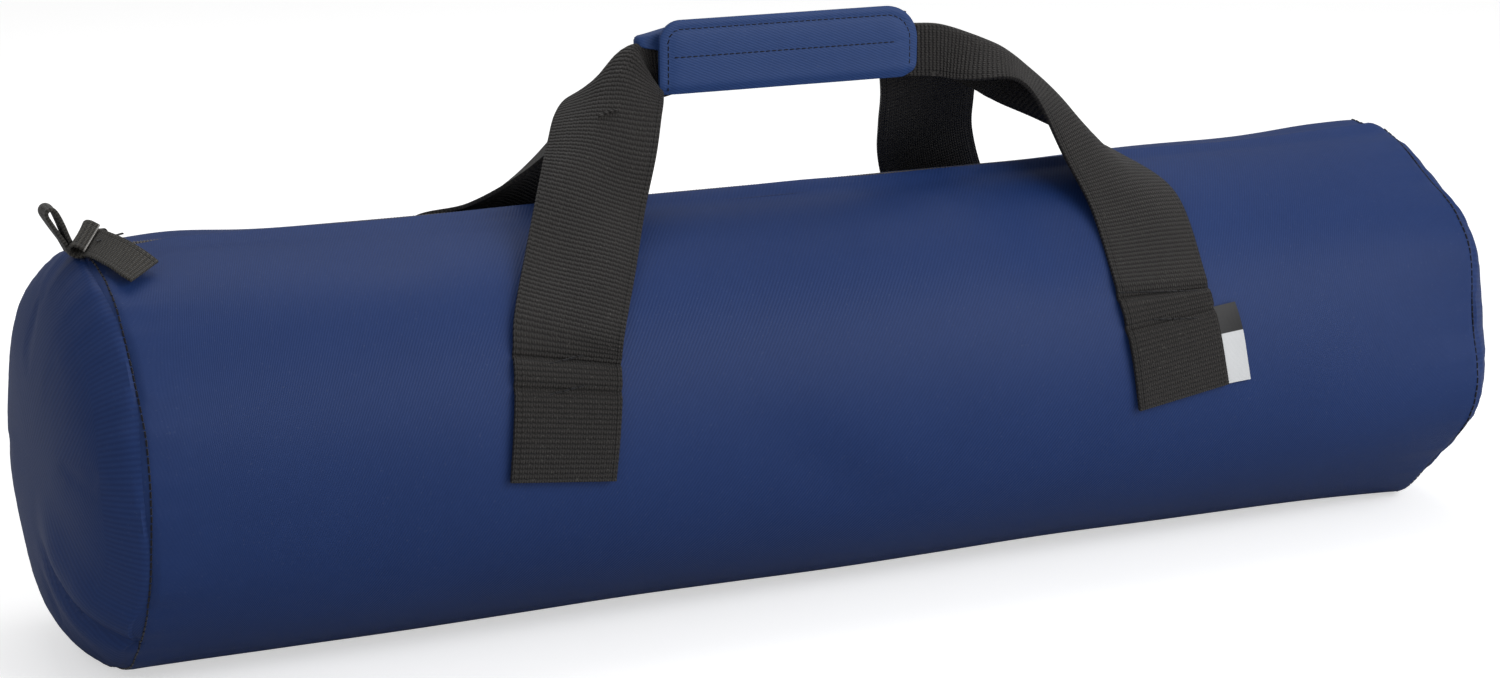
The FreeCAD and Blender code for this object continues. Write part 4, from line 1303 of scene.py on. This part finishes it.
def flapEdge(u, v):
    # u and v run from -1 to 1; the square grid is drawn in round each corner
    middle = (flap["low"] + flap["high"]) / 2
    tall = (flap["high"] - flap["low"]) / 2
    x = u * flap["half"]
    z = v * tall
    r = flapCorner(x, middle + z)
    a = abs(x) - (flap["half"] - r)
    b = abs(z) - (tall - r)
    if a > 0 and b > 0:
        big = max(a, b)
        reach = big / math.hypot(1, min(a, b) / big)
        a, b = a / big * reach, b / big * reach
        x = math.copysign(flap["half"] - r + a, x)
        z = math.copysign(tall - r + b, z)
    return x, middle + z


def makeFlap():
    # a flat pad of cloth over foam, stitched round three sides, rolled under at the bottom
    columns, rows = 71, 25
    pick(None)
    bpy.ops.mesh.primitive_grid_add(x_subdivisions=columns - 1, y_subdivisions=rows - 1, size=2,
                                    rotation=(math.pi / 2, 0, 0))
    pad = named("gripFlap")
    flat = np.array([flapEdge(x, z) for x, y, z in points(pad)])
    spots = np.column_stack([flat[:, 0], np.full(len(flat), flap["back"]), flat[:, 1]])
    place(pad, spots)
    addBoxUv(pad)
    # how far each point is from the edge, not counting the bottom
    toSide = flap["half"] - np.abs(spots[:, 0])
    toTop = flap["high"] - spots[:, 2]
    r = np.where(spots[:, 0] > 0, flap["upper"][1], flap["upper"][0])
    a = np.abs(spots[:, 0]) - (flap["half"] - r)
    b = spots[:, 2] - (flap["high"] - r)
    toEdge = np.where((a > 0) & (b > 0), r - np.hypot(a, b), np.minimum(toSide, toTop))
    applyModifier(pad, "SOLIDIFY", thickness=abs(flap["front"] - flap["back"]), offset=1,
                  use_rim=True)
    co = points(pad)
    front = co[:, 1] < (flap["front"] + flap["back"]) / 2
    nearest = np.array([np.argmin((spots[:, 0] - p[0]) ** 2 + (spots[:, 2] - p[2]) ** 2)
                        for p in co])
    edge = np.maximum(toEdge[nearest], 0)
    row = bump(edge, flap["border"], 0.0010)
    quilt = bump(co[:, 2], flap["quilt"], 0.0009) * (edge > 0.006)
    rim = np.exp(-edge / 0.0009)
    bottom = smoothstep(flap["low"] + 0.006, flap["low"], co[:, 2])
    swell = 0.0006 * smoothstep(flap["border"], 0.011, edge)
    move = np.where(front, 0.0006 * row + 0.0002 * quilt + 0.0009 * rim - swell, -0.0002 * rim)
    move = move + np.where(front, 0.0016 * bottom ** 2, -0.0004 * bottom)
    co[:, 1] += move + np.where(front, 0.0003 * unevenness(co, 40, 5.0), 0)
    place(pad, co)
    applyModifier(pad, "BEVEL", width=0.0007, segments=3, limit_method="ANGLE",
                  angle_limit=math.radians(50))
    co = points(pad)
    co[:, 0] += flap["shift"]
    place(pad, co)
    finish(pad, gripCloth, 60)
    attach(pad, "grip_flap")
    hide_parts("grip_flap_cover", "grip_flap_foam", "grip_flap_fold")


def flapStitches():
    model = oneStitch("flapStitchModel")
    small = copyOf(model, "smallStitch")
    place(small, points(small) * np.array([0.75, 0.72, 0.5]))
    bits = []
    edge = flap["border"]
    leftRadius, rightRadius = (radius - edge for radius in flap["upper"])
    left, right = -flap["half"] + edge, flap["half"] - edge
    top = flap["high"] - edge
    bottom = flap["low"] + 0.002
    turns = np.linspace(0, math.pi / 2, 10)
    route = [(left, bottom)]
    route += [(left + leftRadius * (1 - math.cos(a)), top - leftRadius * (1 - math.sin(a)))
              for a in turns]
    route += [(right - rightRadius * (1 - math.sin(a)), top - rightRadius * (1 - math.cos(a)))
              for a in turns]
    route += [(right, bottom)]
    route = np.array(route) + np.array([flap["shift"], 0])
    run = runOf(route)
    tree = treeOf(bpy.data.objects["gripFlap"])
    border = [(np.interp(s, run, route[:, 0]), np.interp(s, run, route[:, 1]))
              for s in np.arange(0.001, run[-1] - 0.002, flap["pitch"])]
    middle = [(x + flap["shift"], flap["quilt"])
              for x in np.arange(left + 0.004, right - 0.004, flap["pitch"])]
    for way in (border, middle):
        for (x0, z0), (x1, z1) in zip(way[:-1], way[1:]):
            hit = tree.ray_cast(Vector((x0, -0.05, z0)), Vector((0, 1, 0)))[0]
            if hit:
                bits.append(alignedCopy(small, hit + Vector((0, 0.00005, 0)),
                                        Vector((x1 - x0, 0, z1 - z0)), Vector((0, -1, 0))))
    bpy.data.objects.remove(model)
    bpy.data.objects.remove(small)
    rows = joined(bits, "flapStitches")
    finish(rows, darkThread, doubles=False)
    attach(rows, "grip_flap")


makeSleeve()
makeFlap()
flapStitches()
print("grip is in")


# the parts of the frame that stay as they are, in their own finishes

keptNodes = {
    "seam_binding_left": bindingTape, "seam_binding_right": bindingTape,
    "zipper_tape_front": zipTape, "zipper_tape_back": zipTape,
    "zipper_end_stops": darkMetal, "zip_slider_body": darkMetal, "zip_slider_bail": darkMetal,
    "pull_tab_stitches": thread,
    "grip_loop_strip": hookPile, "grip_hook_strip": hookPile,
}


def dressNodes():
    for name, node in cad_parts.items():
        if node.hide_render:
            continue
        node.data.materials.clear()
        node.data.materials.append(keptNodes[name])


dressNodes()
print("frame nodes are dressed")
